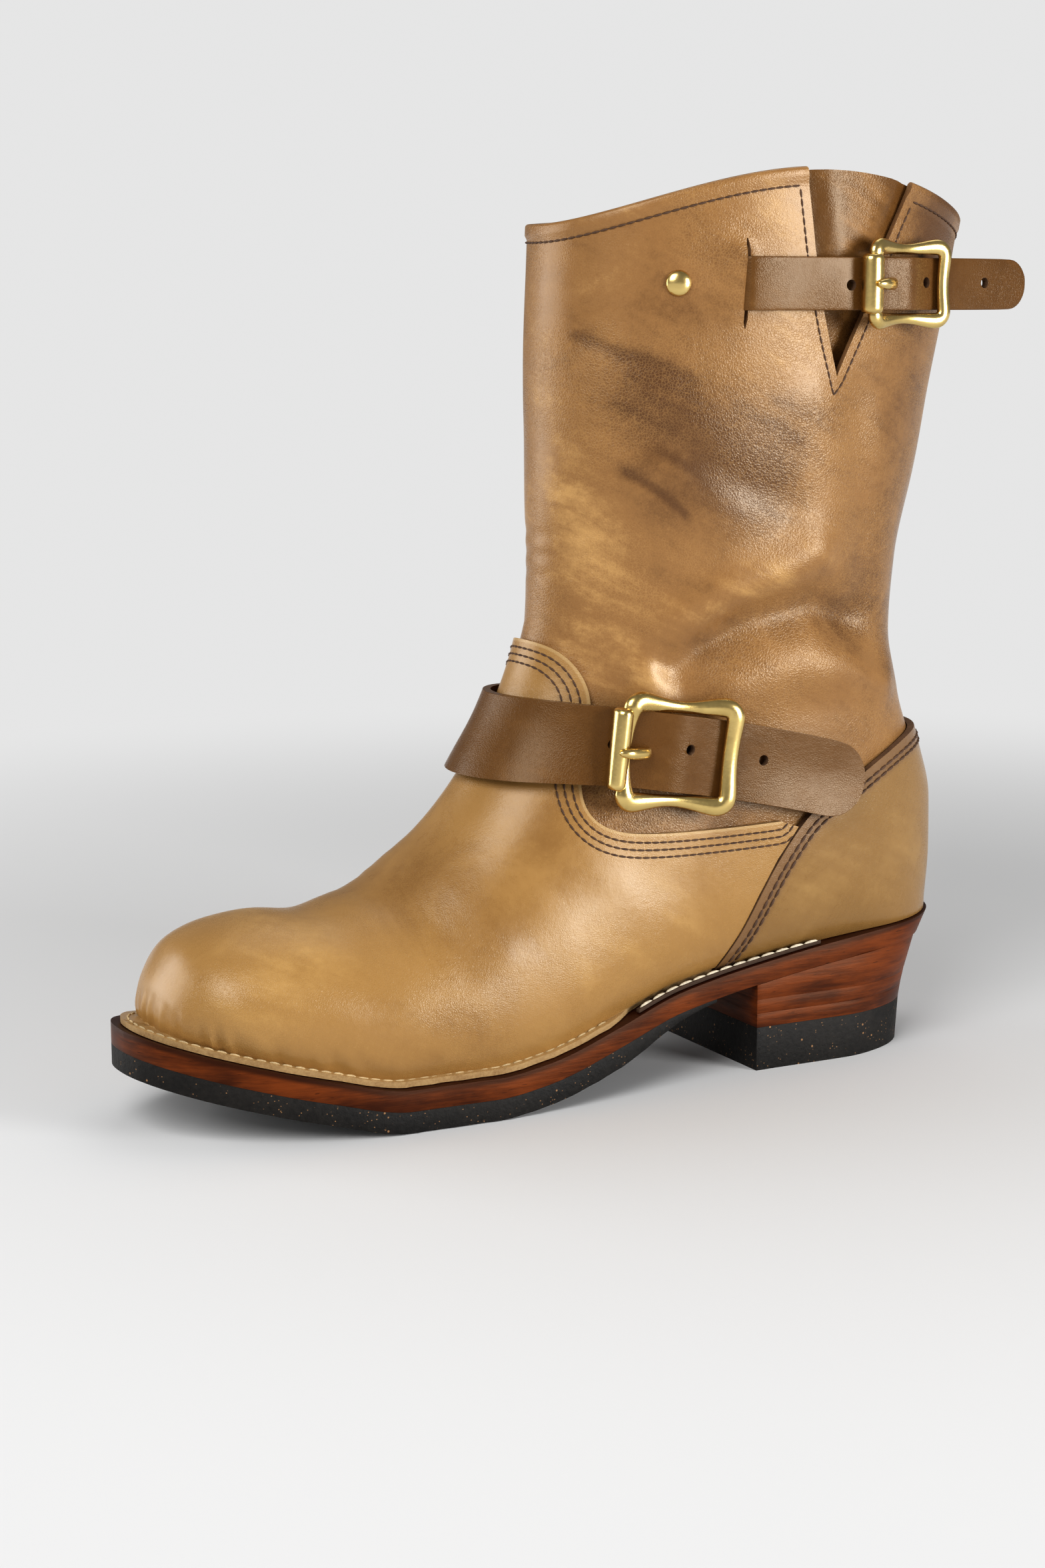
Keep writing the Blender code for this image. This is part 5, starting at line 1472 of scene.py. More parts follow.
class BOOT_OT_sole(bpy.types.Operator):
    """Insole, leather midsole and cork rubber outsole"""

    bl_idname = "boot.sole"
    bl_label = "Sole"

    def execute(self, context):
        colours = context.scene.boot_sole
        stack = stacked_paint("midsole_leather", colours.stack, colours.stack_dark, 0.48, rim=2.6)
        rubber = rubber_paint("sole_rubber", colours.rubber, colours.cork)
        lining = raw_edge_paint("insole_leather", colours.insole, [c * 0.6 for c in colours.insole])
        x = end_packed(SOLE_BACK, SOLE_TIP, MIDSOLE_STATIONS)
        low_back = float(heel_back(seat(SOLE_BACK) - MIDSOLE_THICK))
        low_x = x + (low_back - SOLE_BACK) * (1 - smooth_step(x, SOLE_BACK, HEEL_BREAST))
        half = outline_half(x)
        low = (low_x, half, seat(low_x) - MIDSOLE_THICK)
        midsole = slab("boot_midsole", (x, half, seat(x)), low, stack, bevel=1.1)
        places = mesh_points(midsole)
        set_attribute(midsole, "drop", seat(places[:, 0]) - places[:, 2])
        finish_piece(midsole, "midsole_leather", "midsole")
        x = end_packed(2 * OUTSOLE_BACK - SOLE_TIP, SOLE_TIP, OUTSOLE_STATIONS)
        x = np.concatenate([[OUTSOLE_BACK], x[x > OUTSOLE_BACK + 1.0]])
        top = seat(x) - MIDSOLE_THICK - JOINT
        share = smooth_step(x, OUTSOLE_BACK, OUTSOLE_FULL)
        thick = OUTSOLE_FEATHER + (OUTSOLE_THICK - OUTSOLE_FEATHER) * share
        half = outline_half(x)
        ragged = SOLE_RAGGED * np.sin(x * 1.7) * np.sin(x * 0.61 + 1.0) - 0.2
        low = (x, half + ragged * 0.6, top - thick)
        outsole = slab("boot_outsole", (x, half, top), low, rubber, bevel=0.35)
        finish_piece(outsole, "sole_rubber", "outsole")
        back, tip = FEATHER_BACK + INSOLE_INSET, FEATHER_TIP - INSOLE_INSET
        x = end_packed(back, tip, INSOLE_STATIONS)
        half = outline_half(x, feather_inset(x) + INSOLE_INSET, back, tip)
        height = seat(x) + GAP
        low = (x, half, height)
        insole = slab("boot_insole", (x, half, height + INSOLE_THICK), low, lining, bevel=0.5)
        finish_piece(insole, "insole_leather", "insole")
        return {"FINISHED"}


class BOOT_OT_heel(bpy.types.Operator):
    """Stacked leather lifts and the rubber top lift"""

    bl_idname = "boot.heel"
    bl_label = "Heel"

    def execute(self, context):
        colours = context.scene.boot_sole
        stack = stacked_paint("heel_leather", colours.stack, colours.stack_dark, 0.46)
        rubber = bpy.data.materials["boot_sole_rubber"]
        levels = (TOP_LIFT_Z,) + LIFT_LEVELS
        self.lift("heel_top_lift", 0.0, TOP_LIFT_Z, rubber, "sole_rubber")
        for number, low in enumerate(levels):
            high = levels[number + 1] if number + 1 < len(levels) else None
            self.lift("heel_lift_%d" % (number + 1), low + JOINT, high, stack, "heel_leather")
        return {"FINISHED"}

    @staticmethod
    def lift(node, bottom_z, top_z, material, slot):
        """One layer of the heel; top_z None means that it follows the midsole."""
        share = 1 - np.cos(np.pi / 2 * np.linspace(0, 1, LIFT_STATIONS))
        level = top_z if top_z is not None else SOLE[1].seat - MIDSOLE_THICK
        faces = []
        for z, follows in ((level, top_z is None), (bottom_z, False)):
            back = float(heel_back(z))
            x = back + (HEEL_BREAST - back) * share
            height = seat(x) - MIDSOLE_THICK - SEAT_CLEAR if follows else np.full_like(x, z)
            faces.append((x, outline_half(x, 0.0, back), height))
        piece = slab("boot_" + node, *faces, material, bevel=0.12)
        finish_piece(piece, slot, node)


class BOOT_OT_rands(bpy.types.Operator):
    """Dark strips on the ledge along the waist"""

    bl_idname = "boot.rands"
    bl_label = "Rands"

    def execute(self, context):
        colours = context.scene.boot_sole
        dark = raw_edge_paint("rand_leather", colours.ledge, [c * 0.5 for c in colours.ledge])
        for node, side in (("shank_rand_lateral", 1), ("shank_rand_medial", -1)):
            x = np.linspace(RAND_BACK, FLANGE_BACK - 1.0, RAND_STATIONS)
            near = feather_half(x) + COUNTER_OUT + RAND_CLEAR
            far = outline_half(x, RAND_LEDGE)
            grids = []
            for height in (GAP + RAND_THICK, GAP):
                edges = [np.stack([x, sole_centre(x) + side * reach, seat(x) + height], -1)[:, None]
                         for reach in (near, far)]
                grids.append(np.concatenate(edges, axis=1))
            points, faces, _ = shell(grids[0], grids[1], close_start=True)
            rand = new_piece("boot_" + node, points, faces, [dark])
            bevel_edges(rand, 0.3, 30)
            apply_modifiers(rand)
            smooth(rand)
            finish_piece(rand, "rand_leather", node)
        return {"FINISHED"}


def fill_slot(piece, buckle):
    """Close the prong's long slot in a strap, so that the prong comes up through the leather."""
    axes, middle, _ = buckle_axes(buckle)
    bm = bmesh.new()
    bm.from_mesh(piece.data)
    walls = []
    for face in bm.faces:
        place = np.abs(axes @ (np.array(face.calc_center_median()) / MM) - middle)
        level = abs(axes[2] @ np.array(face.normal))
        near = place[1] < PRONG_SLOT_REACH and place[0] < BUCKLES[buckle].length / 2
        if near and level < PRONG_SLOT_STEEP:
            walls.append(face)
    bmesh.ops.delete(bm, geom=walls, context="FACES")
    edges = [edge for edge in bm.edges if edge.is_boundary]
    bmesh.ops.holes_fill(bm, edges=edges, sides=0)
    loose = [edge for edge in bm.edges if not edge.link_faces]
    bmesh.ops.delete(bm, geom=loose, context="EDGES")
    bmesh.ops.recalc_face_normals(bm, faces=bm.faces)
    bm.to_mesh(piece.data)
    bm.free()


def punch(piece, places, raw):
    """Cut round holes through a strap at points on its outer face."""
    tree = piece_tree([piece.name])
    for place in places:
        near, normal, _, _ = tree.find_nearest(Vector(place) * MM)
        deselect()
        bpy.ops.mesh.primitive_cylinder_add(vertices=20, radius=HOLE_RADIUS * MM, depth=HOLE_DEPTH * MM)
        cutter = bpy.context.object
        stand_on(cutter, near, normal)
        cutter.data.materials.append(raw)
        cut(piece, cutter, "DIFFERENCE")


class BOOT_OT_straps(bpy.types.Operator):
    """Ankle and shaft straps with rounded edges and holes, and the short straps under the buckles"""

    bl_idname = "boot.straps"
    bl_label = "Straps"

    def execute(self, context):
        colours = context.scene.boot_leather
        body = leather_paint("strap_leather", colours.strap, colours.strap_dark, colours.strap_light,
                             colours.grain * STRAP_GRAIN, colours.gloss, depth=STRAP_DEPTH,
                             tones=False, sheen=STRAP_SHEEN)
        raw = raw_edge_paint("strap_raw_edge", colours.edge_dark, colours.strap_dark)
        for node in STRAPS:
            strap = node_copy(node, "boot_" + node)
            strap.data.materials.append(body)
            if node in SLOTTED:
                fill_slot(strap, SLOTTED[node])
            make_active(strap)
            bpy.ops.object.mode_set(mode="EDIT")
            bpy.ops.mesh.select_all(action="SELECT")
            bpy.ops.mesh.tris_convert_to_quads(face_threshold=math.radians(30),
                                               shape_threshold=math.radians(70))
            bpy.ops.object.mode_set(mode="OBJECT")
            bevel_edges(strap, 0.5, 45)
            subdivide(strap, 1)
            apply_modifiers(strap)
            if node in HOLES:
                punch(strap, HOLES[node], raw)
            smooth(strap, 50.0)
            finish_piece(strap, "strap_leather", node)
        return {"FINISHED"}


def buckle_axes(buckle):
    """Directions and middle of a buckle, and its points in them.

    The directions go towards the roller, along the roller, and outwards.
    """
    frame_points = mesh_points(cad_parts[buckle])
    roller_points = mesh_points(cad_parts[buckle + "_roller"])
    along_roller = np.linalg.svd(roller_points - roller_points.mean(0), full_matrices=False)[2][0]
    outwards = np.linalg.svd(frame_points - frame_points.mean(0), full_matrices=False)[2][2]
    if outwards[1] < 0:
        outwards = -outwards
    outwards -= along_roller * (outwards @ along_roller)
    outwards /= np.linalg.norm(outwards)
    towards = np.cross(along_roller, outwards)
    if (roller_points.mean(0) - frame_points.mean(0)) @ towards < 0:
        towards = -towards
    axes = np.stack([towards, along_roller, outwards])
    local = frame_points @ axes.T
    middle = (local.min(0) + local.max(0)) / 2
    return axes, middle, local - middle


def buckle_bow(local):
    """Height of the frame over its own plane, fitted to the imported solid."""
    a, b, height = local.T
    terms = np.stack([np.ones_like(a), a, a * a, b * b], -1)
    factors = np.linalg.lstsq(terms, height, rcond=None)[0]
    return lambda p, q: factors[0] + factors[1] * p + factors[2] * p * p + factors[3] * q * q


def arc(centre, radius, start, count=8):
    """Quarter turn of points in the frame's plane."""
    turns = math.radians(start) + np.linspace(0, math.pi / 2, count)
    return [(centre[0] + radius * math.cos(t), centre[1] + radius * math.sin(t)) for t in turns]


def buckle_path(buckle):
    """Centre line and radius round the frame, from the lower knob past the roller."""
    half_l = buckle.length / 2 - buckle.bar
    half_h = buckle.height / 2 - buckle.corner
    turn = CORNER_EASE + buckle.corner
    knob_turn = buckle.knob
    path, radii = [], []
    for q in np.linspace(-half_h + knob_turn, half_h - knob_turn, 8)[1:-1]:
        path.append((half_l, q))
        radii.append(ROLLER_BAR)
    for point in arc((half_l - knob_turn, half_h - knob_turn), knob_turn, 0):
        path.append(point)
        radii.append(buckle.knob)
    for t in np.linspace(0, 1, 22)[1:-1]:
        p = half_l - knob_turn + t * (-half_l + turn - half_l + knob_turn)
        path.append((p, half_h - buckle.pinch * math.sin(math.pi * t) ** 1.5))
        swell = buckle.knob + (buckle.corner - buckle.knob) * t
        radii.append(swell + (buckle.waist - swell) * math.sin(math.pi * t) ** 1.2)
    for point in arc((-half_l + turn, half_h - turn), turn, 90):
        path.append(point)
        radii.append(buckle.corner)
    for t in np.linspace(0, 1, 12)[1:-1]:
        path.append((-half_l + CORNER_EASE * math.sin(math.pi * t), (half_h - turn) * (1 - 2 * t)))
        radii.append(buckle.corner + (buckle.bar - buckle.corner) * math.sin(math.pi * t) ** 0.7)
    upper = [i for i, point in enumerate(path) if point[1] > 1e-6]
    mirrored = [((path[i][0], -path[i][1]), radii[i]) for i in reversed(upper)]
    whole = [(path[i], radii[i]) for i in upper] + mirrored
    return np.array([point for point, _ in whole]), np.array([radius for _, radius in whole])


def ring_soft(values, rounds):
    """Even out values round a closed path."""
    for _ in range(rounds):
        values = (np.roll(values, 1, 0) + 2 * values + np.roll(values, -1, 0)) / 4
    return values


def sweep_ring(plan, radii, height, sides=BUCKLE_SIDES):
    """Points and quads of a closed bar of oval section round a path in the frame's plane."""
    along = np.roll(plan, -1, 0) - np.roll(plan, 1, 0)
    along /= np.linalg.norm(along, axis=1)[:, None]
    across = np.stack([along[:, 1], -along[:, 0]], -1)
    turns = 2 * np.pi * np.arange(sides) / sides
    rings = []
    for turn in turns:
        spot = plan + across * (radii * math.cos(turn))[:, None]
        level = height + radii * BUCKLE_FLATNESS * math.sin(turn)
        rings.append(np.concatenate([spot, level[:, None]], -1))
    points = np.stack(rings, 1)
    count = len(plan)
    faces = []
    for i in range(count):
        for k in range(sides):
            here, there = i * sides, (i + 1) % count * sides
            following = (k + 1) % sides
            faces.append((here + k, there + k, there + following, here + following))
    return points.reshape(-1, 3), faces


class BOOT_OT_buckles(bpy.types.Operator):
    """Cast brass buckles with rollers and prongs, and the rivet"""

    bl_idname = "boot.buckles"
    bl_label = "Buckles"

    def execute(self, context):
        colours = context.scene.boot_trim
        brass = brass_paint("buckle_brass", colours.brass, colours.tarnish)
        for node in BUCKLES:
            self.cast_frame(node, brass)
            self.roller(node + "_roller", brass)
            self.prong(node, brass)
        self.rivet(brass)
        return {"FINISHED"}

    @staticmethod
    def cast_frame(node, brass):
        """Cast frame with knobs beside the roller, waisted rails and a square far end."""
        axes, middle, local = buckle_axes(node)
        bow = buckle_bow(local)
        plan, radii = buckle_path(BUCKLES[node])
        plan, radii = ring_soft(plan, 2), ring_soft(radii, 3)
        points, faces = sweep_ring(plan, radii, bow(plan[:, 0], plan[:, 1]))
        piece = new_piece("boot_" + node, (points + middle) @ axes, faces, [brass])
        subdivide(piece, 1)
        apply_modifiers(piece)
        piece.data.shade_smooth()
        finish_piece(piece, "buckle_brass", node)

    @staticmethod
    def prong(node, brass):
        """Stubby prong that comes up through its hole and lies on the roller."""
        axes, middle, _ = buckle_axes(node)
        roller = mesh_points(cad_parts[node + "_roller"]) @ axes.T - middle
        at, top = roller[:, 0].mean(), roller[:, 2].max() + ROLLER_SWELL
        tree = piece_tree([STRAP_OF[node]])
        root = np.array((at - PRONG_LENGTH, 0.0, PRONG_SIGHT))
        start, aim = Vector((root + middle) @ axes * MM), -Vector(axes[2])
        hit = tree.ray_cast(start, aim)[0]
        if hit is None:
            raise RuntimeError("no strap under the prong of " + node)
        face = (np.array(hit) / MM @ axes.T - middle)[2]
        reach, share, radii = np.array(PRONG).T
        height = top + PRONG_ABOVE + share * (face + PRONG_SEAT - top - PRONG_ABOVE)
        turns = 2 * np.pi * np.arange(PRONG_SIDES) / PRONG_SIDES
        rings = []
        for a, h, radius in zip(at + reach, height, radii):
            up = h + radius * PRONG_FLATNESS * np.sin(turns)
            rings.append(np.stack([np.full(PRONG_SIDES, a), radius * np.cos(turns), up], -1))
        points = (np.concatenate(rings) + middle) @ axes
        faces = tube_faces(len(rings), PRONG_SIDES)
        piece = new_piece("boot_" + node + "_prong", points, faces, [brass])
        subdivide(piece, 2)
        apply_modifiers(piece)
        piece.data.shade_smooth()
        finish_piece(piece, "buckle_brass", node + "_prong")

    @staticmethod
    def rivet(brass):
        """Low dome on the shaft in front of the strap's slot."""
        middle = mesh_points(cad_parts["shaft_rivet"]).mean(0)
        near, normal, _, _ = piece_tree(["boot_upper"]).find_nearest(Vector(middle) * MM)
        if normal.y < 0:
            normal = -normal
        deselect()
        bpy.ops.mesh.primitive_uv_sphere_add(segments=32, ring_count=16, radius=RIVET_RADIUS * MM)
        piece = bpy.context.object
        piece.name = piece.data.name = "boot_shaft_rivet"
        bpy.ops.object.mode_set(mode="EDIT")
        bpy.ops.mesh.select_all(action="SELECT")
        bpy.ops.transform.resize(value=(1.0, 1.0, RIVET_HEIGHT / RIVET_RADIUS))
        bpy.ops.mesh.bisect(plane_co=(0, 0, -RIVET_SUNK * MM), plane_no=(0, 0, 1), clear_inner=True,
                            use_fill=True)
        bpy.ops.object.mode_set(mode="OBJECT")
        stand_on(piece, near, normal)
        piece.data.materials.append(brass)
        smooth(piece, 50.0)
        finish_piece(piece, "buckle_brass", "shaft_rivet")

    @staticmethod
    def roller(node, brass):
        """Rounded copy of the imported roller, made a little fuller."""
        piece = node_copy(node, "boot_" + node)
        piece.data.materials.append(brass)
        bevel_edges(piece, 0.25, 50)
        subdivide(piece, 2)
        fuller = piece.modifiers.new("fuller", "DISPLACE")
        fuller.strength = ROLLER_SWELL * MM
        fuller.mid_level = 0.0
        apply_modifiers(piece)
        piece.data.shade_smooth()
        finish_piece(piece, "buckle_brass", node)


def contour(piece, field, level, wanted=None):
    """Polylines, in millimetres, where a value on a piece's points crosses a level."""
    mesh = piece.data
    mesh.calc_loop_triangles()
    corners = np.zeros(len(mesh.loop_triangles) * 3, np.int64)
    mesh.loop_triangles.foreach_get("vertices", corners)
    corners = corners.reshape(-1, 3)
    places = mesh_points(piece)
    above = field > level
    crossing = corners[above[corners].any(1) & ~above[corners].all(1)]
    if wanted is not None:
        crossing = crossing[wanted[crossing].all(1)]
    links, points = {}, {}
    for triangle in crossing:
        ends = []
        for a, b in ((0, 1), (1, 2), (2, 0)):
            i, j = sorted((int(triangle[a]), int(triangle[b])))
            if above[i] != above[j]:
                share = (level - field[i]) / (field[j] - field[i])
                points[i, j] = places[i] + share * (places[j] - places[i])
                ends.append((i, j))
        links.setdefault(ends[0], []).append(ends[1])
        links.setdefault(ends[1], []).append(ends[0])
    return [np.array([points[key] for key in run]) for run in chains(links)]


def chains(links):
    """Runs of linked keys, open ones first and rings closed."""
    left = dict(links)
    runs = []
    starts = [key for key, near in links.items() if len(near) == 1] + list(links)
    for start in starts:
        if start not in left:
            continue
        run = [start]
        near = left.pop(start)
        while True:
            following = [key for key in near if key in left]
            if not following:
                break
            run.append(following[0])
            near = left.pop(following[0])
        if len(run) > SHORTEST_RUN:
            runs.append(run + [start] if start in links[run[-1]] else run)
    return runs


def stitch_mesh(name, runs, thread, tree, material):
    """One mesh of short sewn stitches along runs of points, their pitch fitted to each run."""
    turns = 2 * np.pi * np.arange(STITCH_SIDES) / STITCH_SIDES
    points, faces = [], []
    for run in runs:
        lengths = np.concatenate([[0], np.cumsum(np.linalg.norm(np.diff(run, axis=0), axis=1))])
        count = max(1, round(lengths[-1] / thread.pitch))
        for centre in (np.arange(count) + 0.5) * lengths[-1] / count:
            spots = [np.array([np.interp(centre + d, lengths, run[:, k]) for k in range(3)])
                     for d in (-thread.length / 2, thread.length / 2)]
            along = spots[1] - spots[0]
            size = np.linalg.norm(along)
            if size < thread.length * SHORTEST_STITCH:
                continue
            along = along / size
            middle = (spots[0] + spots[1]) / 2
            normal = np.array(tree.find_nearest(Vector(middle) * MM)[1])
            across = np.cross(normal, along)
            across /= np.linalg.norm(across)
            up = np.cross(along, across)
            faces += tube_faces(len(STITCH_PROFILE), STITCH_SIDES, len(points))
            for reach, girth in STITCH_PROFILE:
                lift = thread.radius * (STITCH_LIFT * girth - STITCH_SINK)
                core = middle + along * reach * thread.length + up * lift
                radius = thread.radius * max(girth, STITCH_TIP)
                for turn in turns:
                    points.append(core + (across * math.cos(turn) + up * math.sin(turn)) * radius)
    if not points:
        raise RuntimeError("no stitches for " + name)
    piece = new_piece(name, points, faces, [material], merged=False)
    piece.data.shade_smooth()
    return piece


class BOOT_OT_stitches(bpy.types.Operator):
    """All sewn rows: vamp, counter, collar, notch, back stay, strap end, flange and rands"""

    bl_idname = "boot.stitches"
    bl_label = "Stitches"

    def execute(self, context):
        colours = context.scene.boot_trim
        brown = thread_paint("brown_thread", colours.brown_thread)
        pale = thread_paint("pale_thread", colours.pale_thread)
        flange = thread_paint("flange_thread", colours.flange_thread)
        self.edge_rows("vamp", inside_vamp, VAMP_ROWS, UPPER_THREAD, brown)
        self.edge_rows("counter", inside_counter, COUNTER_ROWS, HEAVY_THREAD, brown)
        self.shaft_rows(brown)
        self.strap_rows(brown)
        self.sole_rows(pale, flange)
        return {"FINISHED"}

    @staticmethod
    def edge_rows(node, inside, rows, thread, brown):
        """Rows along the sewn edge of an overlay."""
        piece = bpy.data.objects["boot_" + node]
        field = inside(mesh_points(piece)[:, (0, 2)])
        outward = outward_points(piece)
        runs = []
        for row in rows:
            runs += contour(piece, field, row, outward)
        made = stitch_mesh(node + "_stitches", runs, thread, piece_tree([piece.name]), brown)
        finish_piece(made, "strap_leather")

    @staticmethod
    def shaft_rows(brown):
        """Rows under the collar, beside the notch and along the back stay."""
        piece = bpy.data.objects["boot_upper"]
        tree = piece_tree(["boot_upper", "boot_back_stay"])
        outer = skin(ROW_LIFT, shaft_relief(GRID))
        collar = evenly(below_collar(outer, COLLAR_ROW), STITCH_SAMPLES)
        runs = split_runs(collar, (signed_notch(collar) > NOTCH_ROW) | (collar[:, 1] < 0))
        places = mesh_points(piece)
        beside = (places[:, 2] < collar_height(places)) & (places[:, 1] > ROW_INNER)
        runs += contour(piece, signed_notch(places), NOTCH_ROW, outward_points(piece) & beside)
        stay = bpy.data.objects["boot_back_stay"]
        edge = STAY_HALF - np.abs(mesh_points(stay)[:, 1])
        runs += contour(stay, edge, STAY_ROW, outward_points(stay))
        made = stitch_mesh("shaft_stitches", runs, UPPER_THREAD, tree, brown)
        finish_piece(made, "strap_leather")

    @staticmethod
    def strap_rows(brown):
        """Box of stitches that holds the ankle strap's inner end."""
        tree = piece_tree(["boot_ankle_strap"])
        corners = strap_end_box()
        runs = []
        for start, end in zip(corners, corners[1:] + corners[:1]):
            run = []
            for x, z in np.linspace(start, end, END_SAMPLES):
                place = tree.ray_cast(Vector((x, -PRISM_HALF, z)) * MM, Vector((0.0, 1.0, 0.0)))[0]
                run.append(np.array(place) / MM)
            runs.append(np.array(run))
        made = stitch_mesh("strap_stitches", runs, UPPER_THREAD, tree, brown)
        finish_piece(made, "strap_leather")

    @staticmethod
    def sole_rows(pale, flange):
        """Rows on the forefoot's flange and on the two rands."""
        edges = flange_edges(GAP + FLANGE_THICK, FLANGE_ROW)
        runs = [edge[edge[:, 0] > FLANGE_FULL - 2.0] for edge in edges]
        made = stitch_mesh("flange_stitches", runs, FLANGE_THREAD, piece_tree(["boot_vamp"]), flange)
        finish_piece(made, "vamp_leather")
        x = np.linspace(RAND_BACK + 1.0, FLANGE_BACK - 2.0, RAND_SAMPLES)
        reach = (feather_half(x) + COUNTER_OUT + RAND_CLEAR + outline_half(x, RAND_LEDGE)) / 2
        height = seat(x) + GAP + RAND_THICK
        runs = [np.stack([x, sole_centre(x) + side * reach, height], -1) for side in (1, -1)]
        tree = piece_tree(["boot_shank_rand_lateral", "boot_shank_rand_medial"])
        made = stitch_mesh("rand_stitches", runs, RAND_THREAD, tree, pale)
        finish_piece(made, "rand_leather")


def inside_vamp(points):
    return -signed_distance(points, VAMP_EDGE)


def inside_counter(points):
    return line_distance(points, COUNTER_EDGE)


def strap_end_box():
    """Side-view corners of the stitches at the ankle strap's inner end."""
    top, low = np.array(STRAP_END)
    across = (low - top) / np.linalg.norm(low - top)
    along = np.array((-across[1], across[0]))
    top, low = top + across * END_INSET, low - across * END_INSET
    near, far = along * END_INSET, along * (END_INSET + END_LENGTH)
    return [top + near, low + near, low + far, top + far]


def below_collar(outer, distance):
    """Points of a skin at a distance down from the collar, one in each column."""
    line = []
    for j in range(outer.shape[1]):
        down = np.linalg.norm(outer[HEEL_ROW:, j] - outer[-1, j], axis=1)[::-1]
        line.append([np.interp(distance, down, outer[HEEL_ROW:, j, k][::-1]) for k in range(3)])
    return np.array(line)


def evenly(points, count):
    """More points along a line of points."""
    places = np.linspace(0, len(points) - 1, count)
    return np.stack([np.interp(places, np.arange(len(points)), axis) for axis in points.T], -1)


def collar_height(places):
    """Height of the collar stitch row over each point, on the outer side."""
    outer = GRID[-1][:HALF_COLUMNS + 1]
    order = np.argsort(outer[:, 0])
    return np.interp(places[:, 0], outer[order, 0], outer[order, 2]) - COLLAR_ROW


def outward_points(piece):
    """Points of a piece whose normal points away from the boot's inside."""
    quads = grid_quads(*GRID.shape[:2])
    tree = BVHTree.FromPolygons([Vector(p) for p in GRID.reshape(-1, 3)], quads.tolist())
    nearest = [tree.find_nearest(Vector(place))[2] for place in mesh_points(piece)]
    outwards = NORMALS.reshape(-1, 3)[quads[nearest, 0]]
    return np.sum(outwards * vertex_vectors(piece, "normal"), axis=1) > FACING


def split_runs(points, keep):
    """Runs of neighbouring points that are kept."""
    runs, run = [], []
    for point, wanted in zip(points, keep):
        if wanted:
            run.append(point)
        elif run:
            runs.append(np.array(run))
            run = []
    if run:
        runs.append(np.array(run))
    return [found for found in runs if len(found) > SHORTEST_RUN]


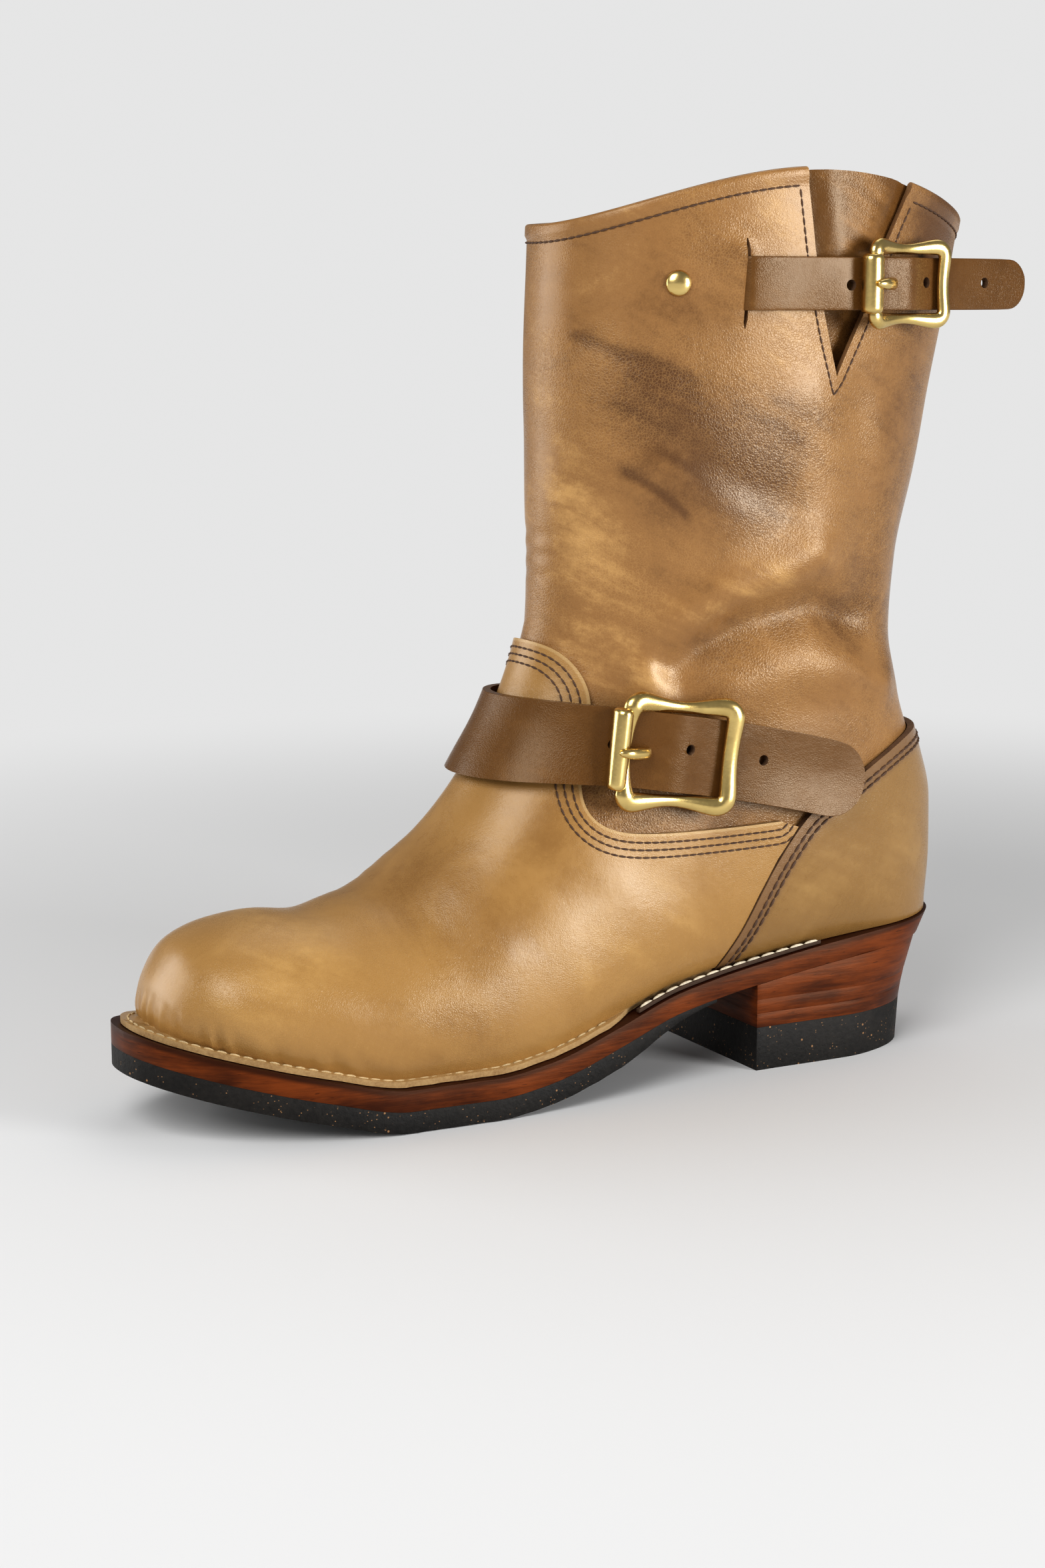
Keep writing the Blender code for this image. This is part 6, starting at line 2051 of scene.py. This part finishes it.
class BOOT_OT_stage(bpy.types.Operator):
    """Pale studio floor, soft lights and the photograph's camera"""

    bl_idname = "boot.stage"
    bl_label = "Stage"

    def execute(self, context):
        settings = context.scene.boot_stage
        deselect()
        bpy.ops.mesh.primitive_grid_add(x_subdivisions=4, y_subdivisions=4, size=FLOOR_SIZE)
        floor = context.object
        floor.name = "studio_floor"
        floor.data.materials.append(stage_paint("studio_paper", settings.floor, settings.surround))
        for side, box in SOFT_BOXES.items():
            self.light(side + "_softbox", getattr(settings, side), box)
        self.surround(context.scene, settings)
        context.scene.view_settings.view_transform = "Standard"
        context.scene.view_settings.look = "Medium High Contrast"
        self.camera(context.scene)
        return {"FINISHED"}

    @staticmethod
    def surround(scene, settings):
        """Plain pale surround, which lights the boot less than it shows."""
        scene.world = bpy.data.worlds.new("surround")
        scene.world.use_nodes = True
        tree = scene.world.node_tree
        shown = tree.nodes["Background"]
        given = tree.nodes.new("ShaderNodeBackground")
        for background, strength in ((shown, settings.surround), (given, settings.ambient)):
            background.inputs["Color"].default_value = WHITE
            background.inputs["Strength"].default_value = strength
        path = tree.nodes.new("ShaderNodeLightPath")
        mix = tree.nodes.new("ShaderNodeMixShader")
        tree.links.new(path.outputs["Is Camera Ray"], mix.inputs[0])
        tree.links.new(given.outputs[0], mix.inputs[1])
        tree.links.new(shown.outputs[0], mix.inputs[2])
        tree.links.new(mix.outputs[0], tree.nodes["World Output"].inputs["Surface"])

    @staticmethod
    def light(name, power, box):
        """Soft box aimed at the boot and unseen itself."""
        lamp = bpy.data.lights.new(name, "AREA")
        lamp.energy = power
        lamp.shape = "RECTANGLE"
        lamp.size = box.width
        lamp.size_y = box.depth
        holder = bpy.data.objects.new(name, lamp)
        turn = math.radians(box.turn)
        holder.location = (box.distance * math.cos(turn), box.distance * math.sin(turn), box.height)
        aim = Vector(LIGHT_AIM) - holder.location
        holder.rotation_euler = aim.to_track_quat("-Z", "Y").to_euler()
        holder.visible_camera = False
        bpy.context.scene.collection.objects.link(holder)

    @staticmethod
    def camera(scene):
        data = bpy.data.cameras.new("camera")
        data.sensor_width = SENSOR
        data.lens = FOCAL_PIXELS / IMAGE_HEIGHT * data.sensor_width
        camera = bpy.data.objects.new("camera", data)
        camera.location = CAMERA_PLACE
        forward = Vector((-math.sin(CAMERA_YAW) * math.cos(CAMERA_DIP),
                          -math.cos(CAMERA_YAW) * math.cos(CAMERA_DIP), -math.sin(CAMERA_DIP)))
        camera.rotation_euler = forward.to_track_quat("-Z", "Y").to_euler()
        scene.collection.objects.link(camera)
        scene.camera = camera


class BOOT_PT_panel(bpy.types.Panel):
    """Colours, lights and steps of the boot"""

    bl_idname = "BOOT_PT_panel"
    bl_label = "Engineer boot"
    bl_space_type = "VIEW_3D"
    bl_region_type = "UI"
    bl_category = "Boot"

    def draw(self, context):
        for name, _ in GROUPS:
            group = getattr(context.scene, name)
            box = self.layout.box()
            for key in group.__annotations__:
                box.prop(group, key)
        for operator in STEPS:
            self.layout.operator(operator.bl_idname)


GROUPS = (("boot_leather", BootLeather), ("boot_sole", BootSole), ("boot_trim", BootTrim),
          ("boot_stage", BootStage))
STEPS = (BOOT_OT_upper, BOOT_OT_vamp, BOOT_OT_counter, BOOT_OT_gusset, BOOT_OT_back_stay, BOOT_OT_sole,
         BOOT_OT_heel, BOOT_OT_rands, BOOT_OT_straps, BOOT_OT_buckles, BOOT_OT_stitches, BOOT_OT_stage)


def register():
    for name, group in GROUPS:
        bpy.utils.register_class(group)
        setattr(bpy.types.Scene, name, PointerProperty(type=group))
    for step in STEPS:
        bpy.utils.register_class(step)
    bpy.utils.register_class(BOOT_PT_panel)


def unregister():
    bpy.utils.unregister_class(BOOT_PT_panel)
    for step in reversed(STEPS):
        bpy.utils.unregister_class(step)
    for name, group in reversed(GROUPS):
        delattr(bpy.types.Scene, name)
        bpy.utils.unregister_class(group)


def main():
    register()
    bpy.ops.boot.upper()
    bpy.ops.boot.vamp()
    bpy.ops.boot.counter()
    bpy.ops.boot.gusset()
    bpy.ops.boot.back_stay()
    bpy.ops.boot.sole()
    bpy.ops.boot.heel()
    bpy.ops.boot.rands()
    bpy.ops.boot.straps()
    bpy.ops.boot.buckles()
    bpy.ops.boot.stitches()
    bpy.ops.boot.stage()


if __name__ == "__main__":
    main()
